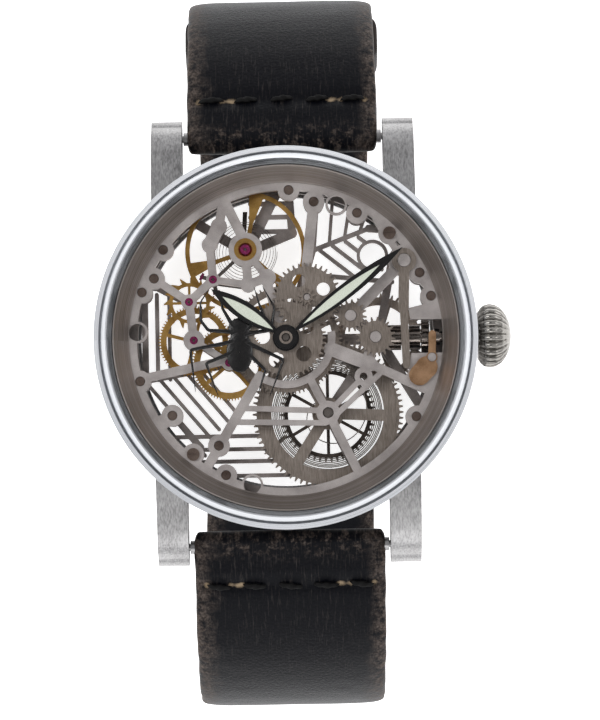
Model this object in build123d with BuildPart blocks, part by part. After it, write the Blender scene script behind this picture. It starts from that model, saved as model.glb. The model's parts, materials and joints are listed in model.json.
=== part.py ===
"""Skeletonised hand-wound wristwatch on a leather strap, in millimetres.

Frame: +Z points out of the dial, +X towards the crown, +Y towards twelve o'clock.
The origin is the middle of the outer face of the back crystal.
"""

import os
from math import atan2, cos, degrees, hypot, radians, sin, sqrt

from build123d import *

os.makedirs("parts", exist_ok=True)

# Driving sizes of the case
movement_radius = 18.25
case_wall = 2.35
bezel_overhang = 0.4
bezel_groove_depth = 0.25
crystal_thickness = 1.5
back_glass_radius = 16.5
back_glass_lip = 0.4
back_glass_thickness = 1.2
lug_gap = 22.3
lug_width = 3.4
lug_reach = 2.0
crown_radius = 3.55
crown_length = 3.7
crown_flutes = 24

# Driving sizes of the strap
strap_side_gap = 0.45
strap_thickness = 2.6
strap_end_radius = 1.75
spring_bar_radius = 0.75
spring_bar_tip_radius = 0.4
first_run = 3.0
first_slope = 20.0
shoulder_radius = 21.8
side_run = 10.0
floor_radius = 26.0
short_length = 74.0
tail_run = 5.0
tail_radius = 14.0
buckle_reach = 12.0
buckle_arm = 2.2
keeper_length = 5.0
keeper_wall = 1.0
strap_holes = 6
strap_hole_pitch = 6.5
tongue_slot_width = 2.9
tongue_slot_inward = 4.4
tongue_slot_outward = 5.6

# Clearances
running = 0.05
gap = 0.10
strap_gap = 0.35
hinge_gap = 0.08

# Levels above the back crystal
wheel_back = 2.3
wheel_back_thickness = 0.45
bridge_low = 2.8
bridge_thickness = 0.9
barrel_low = 3.8
plate_low = 5.9
plate_thickness = 1.0
plate_top = plate_low + plate_thickness
motion_low = plate_top + gap
motion_thickness = 0.3
hour_wheel_low = motion_low + motion_thickness + 0.12
spider_low = 7.85
spider_thickness = 0.35
hour_hand_low = 8.3
minute_hand_low = 8.95
hand_thickness = 0.2
flange_top = 9.8
stem_level = 5.0

# Axes of the movement
centre = (0.0, 0.0)
barrel = (4.49, -8.22)
third = (-6.30, -2.53)
fourth = (-10.13, 0.0)
escape = (-10.59, 4.24)
pallet = (-7.91, 6.67)
balance = (-4.30, 9.92)
minute = (2.39, 4.52)
setting = (9.85, 0.0)
yoke_stud = (13.16, 8.38)
lever_screw = (16.00, -2.35)
click_stud = (-1.75, -11.90)
pallet_posts = [(-8.24, 10.52), (-4.06, 6.06)]

# Tooth numbers
barrel_teeth, centre_leaves = 80, 12
centre_teeth, third_leaves = 80, 10
third_teeth, fourth_leaves = 75, 10
fourth_teeth, escape_leaves = 70, 7
cannon_teeth, minute_teeth = 15, 36
minute_leaves, hour_teeth = 9, 45
intermediate_teeth, setting_teeth = 16, 20
ratchet_teeth, crown_wheel_teeth = 50, 48
crown_wheel_module = 0.205
crown_wheel_bore = 0.65
click_stud_radius = 0.45
regulator_bore = 0.45
escape_teeth = 15

# Tooth shape, in modules and in shares of the pitch
dedendum = 1.2
wheel_addendum, pinion_addendum = 0.95, 0.85
wheel_root_fill, wheel_tip_fill = 0.54, 0.22
pinion_root_fill, pinion_tip_fill = 0.44, 0.18

# Hands, at nine minutes past ten
minute_hand_angle = 36.7
hour_hand_angle = 145.9
pivot_radius = 0.12
jewel_hole = pivot_radius + running
jewel_radius = 0.45

# Sizes that follow
case_radius = movement_radius + case_wall
strap_width = lug_gap - 2 * strap_side_gap
bezel_radius = case_radius + bezel_overhang
case_bore = movement_radius + gap
crystal_radius = bezel_radius - 1.5
crystal_low = flange_top + running
bezel_low = 8.5
flange_radius = movement_radius + 0.7
spring_bar_y = case_radius + strap_end_radius + strap_gap
spring_bar_z = 2.6
strap_bore = spring_bar_radius + hinge_gap
plate_rim = movement_radius - 1.85


def keep(piece, name):
    """Label a finished piece and write it to its own file."""
    piece.part.label = name
    export_step(piece.part, f"parts/{name}.step")


def polar(radius, angle, around=(0.0, 0.0)):
    """Point at a radius and an angle in degrees around an axis."""
    return (around[0] + radius * cos(radians(angle)), around[1] + radius * sin(radians(angle)))


def rim_point(angle, inset):
    """Point on the movement, a distance in from its edge."""
    return polar(movement_radius - inset, angle)


def distance(a, b):
    return hypot(b[0] - a[0], b[1] - a[1])


def direction(a, b):
    """Angle in degrees of the line from a to b."""
    return degrees(atan2(b[1] - a[1], b[0] - a[0]))


def module_for(a, b, teeth_a, teeth_b):
    """Module that lets two wheels on these axes mesh."""
    return 2 * distance(a, b) / (teeth_a + teeth_b)


def meshing_point(a, reach_a, b, reach_b):
    """Left-hand crossing, seen from a to b, of two circles of reach around a and b."""
    span = distance(a, b)
    along = (reach_a**2 - reach_b**2 + span**2) / (2 * span)
    side = sqrt(reach_a**2 - along**2)
    unit = ((b[0] - a[0]) / span, (b[1] - a[1]) / span)
    return (a[0] + along * unit[0] - side * unit[1], a[1] + along * unit[1] + side * unit[0])


def meshed_phase(a, teeth_a, phase_a, b, teeth_b):
    """Phase of wheel b whose gap faces the tooth of wheel a."""
    towards = direction(a, b)
    share = (towards - phase_a) * teeth_a / 360
    return towards + 180 - (0.5 - share) * 360 / teeth_b


def tooth_face(teeth, module, phase, leaves=False):
    """Toothed disc around the origin, with straight-flanked teeth."""
    addendum = pinion_addendum if leaves else wheel_addendum
    root_fill = pinion_root_fill if leaves else wheel_root_fill
    tip_fill = pinion_tip_fill if leaves else wheel_tip_fill
    root = module * (teeth / 2 - dedendum)
    tip = module * (teeth / 2 + addendum)
    flank = [(root, -root_fill), (tip, -tip_fill), (tip, tip_fill), (root, root_fill)]
    points = []
    for tooth in range(teeth):
        for radius, fill in flank:
            points.append(polar(radius, phase + (tooth + fill / 2) * 360 / teeth))
    with BuildSketch() as face:
        with BuildLine():
            Polyline(*points, close=True)
        make_face()
    return face.sketch


def sector_face(inner, outer, start, end):
    """Part of a flat ring between two angles."""
    with BuildSketch() as face:
        with BuildLine():
            outside = CenterArc((0, 0), outer, start, end - start)
            inside = CenterArc((0, 0), inner, start, end - start)
            Line(outside @ 0, inside @ 0)
            Line(outside @ 1, inside @ 1)
        make_face()
    return face.sketch


def strut(a, b, width, mode=Mode.ADD):
    """Round-ended bar between two points of the sketch being drawn."""
    middle = ((a[0] + b[0]) / 2, (a[1] + b[1]) / 2)
    with Locations(middle):
        SlotCenterToCenter(distance(a, b), width, rotation=direction(a, b), mode=mode)


def disc(at, radius, mode=Mode.ADD):
    """Circle at a point of the sketch being drawn."""
    with Locations(at):
        Circle(radius, mode=mode)


def wheel(name, axis, low, thickness, tooth, rim, hub, bore, spokes, spoke_width, turned=0):
    """Spoked toothed wheel; tooth holds its count, module and phase."""
    teeth, module, phase = tooth
    inner = module * (teeth / 2 - dedendum) - rim
    with BuildPart() as piece:
        with BuildSketch(Plane((*axis, low))):
            add(tooth_face(teeth, module, phase))
            Circle(inner, mode=Mode.SUBTRACT)
            Circle(hub)
            with PolarLocations(0, spokes, start_angle=turned):
                Rectangle(inner + rim / 2, spoke_width, align=(Align.MIN, Align.CENTER))
            Circle(bore, mode=Mode.SUBTRACT)
        extrude(amount=thickness)
    keep(piece, name)


def arbor(name, axis, steps, leaves=None):
    """Stepped shaft; leaves holds the low, high, count, module and phase of its pinion."""
    with BuildPart() as piece:
        for low, high, radius in steps:
            with BuildSketch(Plane((*axis, low))):
                Circle(radius)
            extrude(amount=high - low)
        if leaves:
            low, high, count, module, phase = leaves
            with BuildSketch(Plane((*axis, low))):
                add(tooth_face(count, module, phase, leaves=True))
            extrude(amount=high - low)
    keep(piece, name)


def spiral_face(radii, start, turns, width):
    """Strip of a spring whose radius runs through the given values at even steps."""
    steps = 16 * turns
    outer, inner = [], []
    for step in range(steps + 1):
        share = step / steps * (len(radii) - 1)
        low = min(int(share), len(radii) - 2)
        radius = radii[low] + (radii[low + 1] - radii[low]) * (share - low)
        angle = start + 360 * turns * step / steps
        outer.append(polar(radius + width / 2, angle))
        inner.append(polar(radius - width / 2, angle))
    with BuildSketch() as face:
        with BuildLine():
            Spline(*outer)
            Spline(*inner)
            Line(outer[0], inner[0])
            Line(outer[-1], inner[-1])
        make_face()
    return face.sketch


# Meshing of the going train, from the barrel to the escape wheel
barrel_module = module_for(barrel, centre, barrel_teeth, centre_leaves)
centre_module = module_for(centre, third, centre_teeth, third_leaves)
third_module = module_for(third, fourth, third_teeth, fourth_leaves)
fourth_module = module_for(fourth, escape, fourth_teeth, escape_leaves)
centre_leaf_phase = meshed_phase(barrel, barrel_teeth, 0, centre, centre_leaves)
third_leaf_phase = meshed_phase(centre, centre_teeth, 0, third, third_leaves)
fourth_leaf_phase = meshed_phase(third, third_teeth, 0, fourth, fourth_leaves)
escape_leaf_phase = meshed_phase(fourth, fourth_teeth, 0, escape, escape_leaves)

# Meshing of the motion work and the setting wheels
motion_module = module_for(centre, minute, cannon_teeth, minute_teeth)
hour_module = module_for(centre, minute, hour_teeth, minute_leaves)
intermediate = meshing_point(
    minute,
    (minute_teeth + intermediate_teeth) / 2 * motion_module,
    setting,
    (setting_teeth + intermediate_teeth) / 2 * motion_module,
)
minute_phase = meshed_phase(centre, cannon_teeth, 0, minute, minute_teeth)
minute_leaf_phase = meshed_phase(centre, hour_teeth, 0, minute, minute_leaves)
intermediate_phase = meshed_phase(minute, minute_teeth, minute_phase, intermediate, intermediate_teeth)
setting_phase = meshed_phase(
    intermediate, intermediate_teeth, intermediate_phase, setting, setting_teeth
)

# The crown wheel turns on the line of the stem and meshes with the ratchet wheel
crown_wheel_reach = (ratchet_teeth + crown_wheel_teeth) / 2 * crown_wheel_module
crown_wheel = (barrel[0] + sqrt(crown_wheel_reach**2 - barrel[1] ** 2), 0.0)
crown_wheel_phase = meshed_phase(barrel, ratchet_teeth, 0, crown_wheel, crown_wheel_teeth)

# Screws, pillars and open holes on the plate, as angle and inset from the movement's edge
pillar_places = [
    rim_point(87.9, 1.83), rim_point(77.5, 2.81), rim_point(59.5, 2.30), rim_point(25.3, 1.83),
    rim_point(15.4, 1.60), rim_point(143.0, 1.55), rim_point(154.4, 2.29), rim_point(161.1, 1.60),
    rim_point(195.3, 1.55), rim_point(213.1, 3.18), rim_point(236.9, 4.37), rim_point(245.3, 1.87),
    rim_point(-31.9, 1.55),
]
open_places = [rim_point(68.4, 2.39), rim_point(176.5, 1.85), rim_point(256.0, 1.75)]
casing_places = [rim_point(44.6, 1.95), rim_point(230.3, 1.95)]
pillar_radius = 0.85
pillar_screw_radius = 0.5
casing_screw_radius = 0.45
casing_head_radius = 0.7


# ---- Case ----

def lug_face():
    """Side outline of one lug, from the case middle to its rounded tip."""
    tip = spring_bar_y + lug_reach
    with BuildSketch() as face:
        with BuildLine():
            top = Line((0, 8.3), (11.5, 8.3))
            crest = Spline(top @ 1, (19.5, 6.6), (tip - 0.7, 3.6), tangents=((1, 0), (0.35, -1)))
            nose = ThreePointArc(crest @ 1, (tip, 1.9), (tip - 1.1, 0.8))
            heel = Line(nose @ 1, (13.0, 1.3))
            sole = Line(heel @ 1, (0, 1.3))
            Line(sole @ 1, top @ 0)
        make_face()
    return face.sketch


def make_case_band():
    lug_plane = Plane(origin=(lug_gap / 2, 0, 0), x_dir=(0, 1, 0), z_dir=(1, 0, 0))
    with BuildPart() as case_band:
        with BuildSketch(Plane.XZ):
            with BuildLine():
                Polyline(
                    (case_bore, 2.05),
                    (case_radius - 0.9, 1.25),
                    (case_radius, 2.6),
                    (case_radius, bezel_low - running),
                    (flange_radius + gap, bezel_low - running),
                    (flange_radius + gap, plate_top),
                    (case_bore, plate_top),
                    close=True,
                )
            make_face()
        revolve(axis=Axis.Z)
        with BuildSketch(lug_plane):
            add(lug_face())
        extrude(amount=lug_width)
        mirror(about=Plane.XZ)
        mirror(about=Plane.YZ)
        Cylinder(case_bore, 40, mode=Mode.SUBTRACT)
        with Locations((0, 0, plate_top)):
            Cylinder(
                flange_radius + gap, 20, align=(Align.CENTER, Align.CENTER, Align.MIN), mode=Mode.SUBTRACT
            )
        with Locations(Plane.XY.offset(-20)):
            Cylinder(
                case_radius - 0.4, 20 + 2.05,
                align=(Align.CENTER, Align.CENTER, Align.MIN), mode=Mode.SUBTRACT,
            )
        bar_holes = Plane(origin=(-lug_gap / 2 - 1.3, 0, 0), x_dir=(0, 1, 0), z_dir=(1, 0, 0))
        with BuildSketch(bar_holes):
            with Locations((spring_bar_y, spring_bar_z), (-spring_bar_y, spring_bar_z)):
                Circle(spring_bar_tip_radius + running)
        extrude(amount=lug_gap + 2.6, mode=Mode.SUBTRACT)
        with BuildSketch(Plane(origin=(movement_radius - 1, 0, stem_level), z_dir=(1, 0, 0))):
            Circle(1.2)
        extrude(amount=case_wall + 2, mode=Mode.SUBTRACT)
    keep(case_band, "case_band")


def make_bezel():
    groove = bezel_radius - 0.7
    with BuildPart() as bezel:
        with BuildSketch(Plane.XZ):
            with BuildLine():
                Polyline(
                    (flange_radius + gap, bezel_low),
                    (bezel_radius - 0.15, bezel_low),
                    (bezel_radius, bezel_low + 0.15),
                    (bezel_radius, 10.0),
                    (groove + 0.15, 10.5),
                    (groove, 10.5 - bezel_groove_depth),
                    (groove - 0.15, 10.55),
                    (crystal_radius + running + 0.15, 11.1),
                    (crystal_radius + running, 11.0),
                    (crystal_radius + running, crystal_low),
                    (flange_radius + gap, crystal_low),
                    close=True,
                )
            make_face()
        revolve(axis=Axis.Z)
    keep(bezel, "bezel")


def make_crystals():
    with BuildPart() as crystal_front:
        with BuildSketch(Plane.XY.offset(crystal_low)):
            Circle(crystal_radius)
        extrude(amount=crystal_thickness)
        chamfer(crystal_front.faces().sort_by(Axis.Z)[-1].edges(), length=0.5, length2=0.6)
    keep(crystal_front, "crystal_front")
    with BuildPart() as crystal_back:
        with BuildSketch():
            Circle(back_glass_radius)
        extrude(amount=back_glass_thickness)
    keep(crystal_back, "crystal_back")


def make_case_back():
    with BuildPart() as case_back:
        with BuildSketch(Plane.XZ):
            with BuildLine():
                Polyline(
                    (back_glass_radius + running, 0.15),
                    (case_radius - 2.2, 0.15),
                    (case_radius - 0.95, 0.9),
                    (case_radius - 0.95, 1.2),
                    (case_bore - 0.1, 2.0),
                    (back_glass_radius - back_glass_lip, 2.0),
                    (back_glass_radius - back_glass_lip, back_glass_thickness),
                    (back_glass_radius + running, back_glass_thickness),
                    close=True,
                )
            make_face()
        revolve(axis=Axis.Z)
        with BuildSketch(Plane.XY.offset(0.15)):
            with PolarLocations(case_radius - 2.95, 6):
                Rectangle(1.4, 2.6)
        extrude(amount=0.5, mode=Mode.SUBTRACT)
    keep(case_back, "case_back")


def make_flange():
    with BuildPart() as flange_ring:
        with BuildSketch(Plane.XZ):
            with BuildLine():
                Polyline(
                    (movement_radius - 1.0, plate_top + running),
                    (movement_radius, plate_top + running),
                    (flange_radius, plate_top + 0.85),
                    (flange_radius, flange_top),
                    (flange_radius - 0.15, flange_top),
                    (movement_radius - 0.9, plate_top + 0.3),
                    (movement_radius - 1.0, plate_top + 0.2),
                    close=True,
                )
            make_face()
        revolve(axis=Axis.Z)
    keep(flange_ring, "flange_ring")


def make_spring_bars():
    body = lug_gap / 2 - 0.15
    with BuildPart() as spring_bars:
        for side in (1, -1):
            middle = Plane(origin=(0, side * spring_bar_y, spring_bar_z), z_dir=(1, 0, 0))
            with BuildSketch(middle.offset(-body)):
                Circle(spring_bar_radius)
            extrude(amount=2 * body)
            with BuildSketch(middle.offset(-body - 1.2)):
                Circle(spring_bar_tip_radius)
            extrude(amount=2 * body + 2.4)
    keep(spring_bars, "spring_bars")


# ---- Crown and keyless work ----

stem_plane = Plane(origin=(0, 0, stem_level), x_dir=(0, 1, 0), z_dir=(1, 0, 0))
crown_start = bezel_radius + 0.15
stem_radius = 0.58
stem_bore = stem_radius + running
winding_pinion_start, winding_pinion_length, winding_pinion_radius = 14.95, 0.85, 1.96
sliding_start, sliding_length, sliding_radius = 11.2, 3.6, 1.4


def make_crown():
    with BuildPart() as crown:
        with BuildSketch(Plane.XZ):
            with BuildLine():
                start = Line((crown_start, stem_level), (crown_start, stem_level + 2.7))
                bulge = Spline(
                    start @ 1,
                    (crown_start + 0.32 * crown_length, stem_level + crown_radius),
                    (crown_start + 0.8 * crown_length, stem_level + 0.66 * crown_radius),
                    (crown_start + crown_length, stem_level),
                )
                Line(bulge @ 1, start @ 0)
            make_face()
        revolve(axis=Axis((0, 0, stem_level), (1, 0, 0)))
        with BuildSketch(stem_plane.offset(crown_start)):
            with PolarLocations(crown_radius + 0.05, crown_flutes):
                Circle(0.30)
        extrude(amount=0.8 * crown_length, mode=Mode.SUBTRACT)
        with BuildSketch(stem_plane.offset(crown_start)):
            Circle(stem_radius)
        extrude(amount=1.2, mode=Mode.SUBTRACT)
    keep(crown, "crown")


def make_stem():
    with BuildPart() as stem:
        with BuildSketch(stem_plane.offset(sliding_start - 0.4)):
            Circle(stem_radius)
        extrude(amount=crown_start + 1.2 - sliding_start + 0.4)
        with BuildSketch(stem_plane.offset(16.35)):
            Circle(0.9)
        extrude(amount=0.6)
    keep(stem, "winding_stem")


def make_sliding_pinion():
    with BuildPart() as sliding_pinion:
        with BuildSketch(stem_plane.offset(sliding_start)):
            add(tooth_face(14, 2 * sliding_radius / 16, 0))
            Circle(stem_bore, mode=Mode.SUBTRACT)
        extrude(amount=sliding_length)
        with BuildSketch(stem_plane.offset(sliding_start + 1.5)):
            Circle(2)
            Circle(0.9, mode=Mode.SUBTRACT)
        extrude(amount=0.9, mode=Mode.SUBTRACT)
    keep(sliding_pinion, "sliding_pinion")


def make_winding_pinion():
    with BuildPart() as winding_pinion:
        with BuildSketch(stem_plane.offset(winding_pinion_start)):
            add(tooth_face(15, 2 * winding_pinion_radius / 17, 0))
            Circle(stem_bore, mode=Mode.SUBTRACT)
        extrude(amount=winding_pinion_length)
    keep(winding_pinion, "winding_pinion")


def make_crown_wheel():
    reach = crown_wheel_module * (crown_wheel_teeth / 2 - dedendum)
    face_teeth_top = stem_level - winding_pinion_radius - running
    with BuildPart() as piece:
        with BuildSketch(Plane((*crown_wheel, wheel_back))):
            add(tooth_face(crown_wheel_teeth, crown_wheel_module, crown_wheel_phase))
            Circle(reach - 0.9, mode=Mode.SUBTRACT)
            Circle(1.5)
            with PolarLocations(0, 5):
                Rectangle(reach - 0.5, 0.5, align=(Align.MIN, Align.CENTER))
            Circle(crown_wheel_bore, mode=Mode.SUBTRACT)
        extrude(amount=wheel_back_thickness)
        with BuildSketch(Plane((*crown_wheel, wheel_back + wheel_back_thickness))):
            with PolarLocations(reach - 0.35, crown_wheel_teeth // 2):
                Rectangle(0.6, 0.28)
        extrude(amount=face_teeth_top - wheel_back - wheel_back_thickness)
    keep(piece, "crown_wheel")


def make_yoke():
    tip = (13.20, -3.1)
    with BuildPart() as yoke:
        with BuildSketch(Plane.XY.offset(motion_low)):
            strut(yoke_stud, (13.0, 3.2), 1.15)
            strut((13.0, 3.2), tip, 0.85)
            disc(yoke_stud, 1.35)
            disc(yoke_stud, 0.7 + running, Mode.SUBTRACT)
        extrude(amount=motion_thickness)
    keep(yoke, "yoke")


def make_setting_lever():
    body, heel = (15.40, -3.45), (14.60, -4.30)
    with BuildPart() as setting_lever:
        with BuildSketch(Plane.XY.offset(motion_low)):
            disc(body, 1.2)
            disc(heel, 1.15)
            strut(body, heel, 2.3)
            strut(body, lever_screw, 1.2)
            strut(lever_screw, (16.1, 0.2), 0.8)
            disc(lever_screw, 0.45 + running, Mode.SUBTRACT)
        extrude(amount=motion_thickness)
    keep(setting_lever, "setting_lever")


# ---- Movement frame ----

def make_main_plate():
    ring_in = plate_rim
    centre_ring = 5.03
    spokes = [
        (rim_point(113.0, 1.6), (-4.60, 11.40), 1.10),
        ((-7.16, 12.55), (-8.24, 10.52), 1.50),
        ((-7.16, 12.55), rim_point(113.5, 1.6), 1.00),
        ((-8.24, 10.52), pallet, 0.90),
        (pallet, escape, 0.90),
        (escape, fourth, 0.95),
        (rim_point(194.5, 1.6), (-3.47, -1.57), 0.95),
        (fourth, (-6.60, -2.30), 0.70),
        (rim_point(154.4, 2.29), escape, 0.85),
        (pallet, pallet_posts[1], 0.75),
        (pallet_posts[1], (-1.92, 6.78), 0.90),
        (balance, pallet_posts[1], 1.00),
        (balance, (-1.92, 6.78), 0.80),
        ((-2.10, 6.60), centre, 1.05),
        (centre, (-3.47, -1.57), 0.90),
        (centre, minute, 1.20),
        (minute, (2.45, 8.20), 1.10),
        (rim_point(77.5, 2.81), (2.45, 8.20), 1.15),
        (minute, intermediate, 1.10),
        (intermediate, setting, 1.30),
        (intermediate, yoke_stud, 1.20),
        (setting, (8.90, -2.60), 1.30),
        (polar(centre_ring, -14), (9.30, -3.00), 1.50),
        ((9.30, -3.00), rim_point(-21.0, 1.6), 1.00),
        (polar(centre_ring, -126), rim_point(237.5, 1.6), 1.05),
        (rim_point(213.1, 3.18), rim_point(213.1, 1.2), 1.60),
        (barrel, polar(centre_ring, -60), 0.85),
        (barrel, (8.46, -4.31), 0.60),
        ((5.00, -8.80), (10.30, -4.00), 0.60),
        (barrel, rim_point(-62.6, 1.2), 0.95),
        ((4.20, -8.00), (-5.10, -7.55), 0.60),
        ((4.20, -9.35), (-6.05, -9.05), 0.60),
        (rim_point(52.0, 1.8), (12.40, 9.50), 0.70),
        (yoke_stud, rim_point(20.0, 1.6), 1.00),
    ]
    bosses = [
        ((-7.16, 12.55), 0.90), ((-8.24, 10.52), 0.85), (pallet, 0.75), (escape, 0.85),
        (fourth, 1.15), (pallet_posts[1], 0.85), ((-1.92, 6.78), 0.95), (balance, 1.86),
        (centre, 1.75), (minute, 0.95), (intermediate, 1.20), (setting, 1.55), (yoke_stud, 1.75),
        ((8.46, -4.31), 1.00), (barrel, 1.30), (third, 0.80),
    ]
    with BuildPart() as main_plate:
        with BuildSketch(Plane.XY.offset(plate_low)):
            Circle(movement_radius)
            Circle(ring_in, mode=Mode.SUBTRACT)
            for start, end, width in spokes:
                strut(start, end, width)
            add(sector_face(centre_ring - 0.42, centre_ring + 0.42, -128, 8))
            for place in pillar_places + open_places + casing_places:
                disc(place, 1.2)
            for place, radius in bosses:
                disc(place, radius)
            add(sector_face(13.9, movement_radius - 0.5, -20, 13))
            with Locations((14.1, 0)):
                Rectangle(6.6, 3.7, mode=Mode.SUBTRACT)
            for place in pillar_places:
                disc(place, pillar_screw_radius + running, Mode.SUBTRACT)
            for place in open_places:
                disc(place, 0.95, Mode.SUBTRACT)
            for place in casing_places:
                disc(place, casing_screw_radius + running, Mode.SUBTRACT)
            for place in (pallet, escape, fourth, third):
                disc(place, jewel_radius, Mode.SUBTRACT)
            disc(balance, 1.24, Mode.SUBTRACT)
            disc(centre, 0.60, Mode.SUBTRACT)
            disc(barrel, 0.60, Mode.SUBTRACT)
            disc((8.46, -4.31), 0.42, Mode.SUBTRACT)
        extrude(amount=plate_thickness)
        with BuildSketch(Plane.XY.offset(plate_low)):
            with Locations(*pillar_places):
                Circle(pillar_radius)
        extrude(amount=-(plate_low - bridge_low - bridge_thickness))
        with BuildSketch(Plane.XY.offset(plate_low)):
            with Locations(*pallet_posts):
                Circle(0.5)
        extrude(amount=-(plate_low - 4.6))
        with BuildSketch(Plane.XY.offset(plate_top)):
            disc(minute, 0.35)
            disc(intermediate, 0.60)
            disc(setting, 0.60)
            disc(yoke_stud, 0.70)
            disc(lever_screw, 0.45)
        extrude(amount=motion_thickness + 2 * gap)
    keep(main_plate, "main_plate")


def make_barrel_bridge():
    hub = crown_wheel
    stripe_starts = [(3.9 + 1.45 * i, 10.0 + 0.45 * i) for i in range(4)]
    with BuildPart() as barrel_bridge:
        with BuildSketch(Plane.XY.offset(bridge_low)):
            add(sector_face(plate_rim, movement_radius - 0.15, -109, 84))
            strut(barrel, rim_point(-62.6, 1.2), 1.1)
            strut(barrel, hub, 1.2)
            strut(barrel, centre, 1.2)
            strut(centre, hub, 1.2)
            strut(hub, rim_point(-28, 1.2), 1.1)
            strut(centre, (3.0, 9.9), 1.0)
            strut((3.0, 9.9), rim_point(78, 1.2), 1.0)
            strut((3.0, 9.9), (9.4, 12.3), 0.5)
            strut((9.4, 12.3), rim_point(45, 1.2), 0.8)
            strut(hub, (11.9, 8.6), 0.9)
            strut((11.9, 8.6), rim_point(33, 1.2), 0.9)
            strut((3.5, 7.2), (11.9, 6.3), 0.5)
            for start in stripe_starts:
                strut(start, (start[0] + 4.0, start[1] - 3.2), 0.42)
            for i in range(3):
                strut(rim_point(71 - 7 * i, 1.4), (5.0 + 1.7 * i, 10.65 + 0.64 * i), 0.38)
            with Locations((9.77, 9.28)):
                Circle(1.75)
                Circle(1.40, mode=Mode.SUBTRACT)
            for place in pillar_places[1:5] + [pillar_places[-1]]:
                disc(place, 1.1)
            disc(barrel, 1.75)
            disc(centre, 1.3)
            disc(hub, 1.3)
            disc(barrel, 0.85, Mode.SUBTRACT)
            disc(centre, 0.35 + running, Mode.SUBTRACT)
            with Locations((15.2, 0)):
                Rectangle(2.2, 4.6, mode=Mode.SUBTRACT)
        extrude(amount=bridge_thickness)
        with BuildSketch(Plane((*hub, bridge_low))):
            Circle(crown_wheel_module * crown_wheel_teeth / 2 + 0.4)
            Circle(crown_wheel_module * crown_wheel_teeth / 2 - 1.5, mode=Mode.SUBTRACT)
        extrude(amount=0.3, mode=Mode.SUBTRACT)
        with BuildSketch(Plane((*hub, bridge_low))):
            Circle(crown_wheel_bore - running)
        extrude(amount=wheel_back - running - bridge_low)
    keep(barrel_bridge, "barrel_bridge")


def make_train_bridge():
    barrel_arc = 7.4
    with BuildPart() as train_bridge:
        with BuildSketch(Plane.XY.offset(bridge_low)):
            add(sector_face(plate_rim, movement_radius - 0.15, 136, 246))
            strut(rim_point(194.5, 1.2), third, 0.8)
            strut(third, (-3.6, -5.0), 0.8)
            strut((-3.6, -5.0), rim_point(237.0, 1.2), 0.8)
            strut(third, fourth, 0.7)
            strut(fourth, escape, 0.8)
            strut(escape, rim_point(156.0, 1.2), 0.8)
            for offset, width in ((0.0, 0.7), (1.35, 0.45), (2.7, 0.40)):
                strut((-15.6 + offset, 5.6 - offset * 0.2), (-15.6 + offset, -4.1), width)
            for i in range(5):
                start = (-15.4 + 1.5 * i, -4.6 + 0.32 * i)
                strut(start, (start[0] + 5.9 - 0.55 * i, start[1] - 7.0 + 0.62 * i), 0.42)
            strut((-12.6, -8.4), (-9.2, -12.6), 0.42)
            with Locations(barrel):
                add(sector_face(barrel_arc - 0.4, barrel_arc + 0.4, 140, 262))
            for level in (-10.5, -11.95, -13.3, -14.9):
                left = -9.9 + (level + 14.4) * -0.62 - 0.3
                reach = sqrt(barrel_arc**2 - (level - barrel[1]) ** 2)
                strut((left, level), (barrel[0] - reach, level), 0.45)
            for place in pillar_places[6:12]:
                disc(place, 1.1)
            for place in (third, fourth, escape):
                disc(place, 0.8)
                disc(place, jewel_hole, Mode.SUBTRACT)
        extrude(amount=bridge_thickness)
        with BuildSketch(Plane.XY.offset(bridge_low)):
            disc(click_stud, click_stud_radius)
        extrude(amount=wheel_back - running - bridge_low)
    keep(train_bridge, "train_bridge")


def make_balance_cock():
    low = wheel_back
    with BuildPart() as balance_cock:
        with BuildSketch(Plane.XY.offset(bridge_low)):
            add(sector_face(plate_rim, movement_radius - 0.15, 86, 134))
            disc(rim_point(143.0, 1.55), 1.1, Mode.SUBTRACT)
        extrude(amount=bridge_thickness)
        with BuildSketch(Plane.XY.offset(low)):
            add(sector_face(plate_rim, movement_radius - 0.15, 88, 132))
            strut(balance, rim_point(92, 1.2), 1.3)
            strut(balance, rim_point(127, 1.2), 1.1)
            for height in (2.3, 3.9, 5.4):
                strut((balance[0] + 0.6, balance[1] + height), (0.9, balance[1] + height), 0.5)
            strut(balance, (0.9, 12.0), 1.1)
            strut((0.9, 12.0), (0.6, 16.6), 0.9)
            disc(balance, 1.7)
            disc(balance, jewel_hole, Mode.SUBTRACT)
        extrude(amount=0.7)
        with BuildSketch(Plane((*balance, low))):
            Circle(regulator_bore - running)
            Circle(jewel_hole, mode=Mode.SUBTRACT)
        extrude(amount=-0.22)
    keep(balance_cock, "balance_cock")


def make_pallet_bridge():
    with BuildPart() as pallet_bridge:
        with BuildSketch(Plane.XY.offset(4.3)):
            strut(pallet_posts[0], pallet, 0.9)
            strut(pallet, pallet_posts[1], 0.9)
            for place in pallet_posts:
                disc(place, 0.75)
            disc(pallet, 0.7)
            disc(pallet, jewel_hole, Mode.SUBTRACT)
        extrude(amount=0.3)
    keep(pallet_bridge, "pallet_bridge")


def make_jewels():
    with BuildPart() as jewels:
        with BuildSketch(Plane.XY.offset(plate_top - 0.45)):
            with Locations(pallet, escape, fourth, third):
                Circle(jewel_radius)
                Circle(jewel_hole, mode=Mode.SUBTRACT)
            with Locations(balance):
                Circle(0.55)
                Circle(jewel_hole, mode=Mode.SUBTRACT)
        extrude(amount=0.5)
    keep(jewels, "jewels")


def make_balance_setting():
    with BuildPart() as balance_setting:
        with BuildSketch(Plane((*balance, plate_top - 0.6))):
            Circle(1.24)
            Circle(0.55, mode=Mode.SUBTRACT)
        extrude(amount=0.65)
        chamfer(balance_setting.faces().sort_by(Axis.Z)[-1].inner_wires().edges(), length=0.25)
    keep(balance_setting, "balance_setting")


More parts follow.
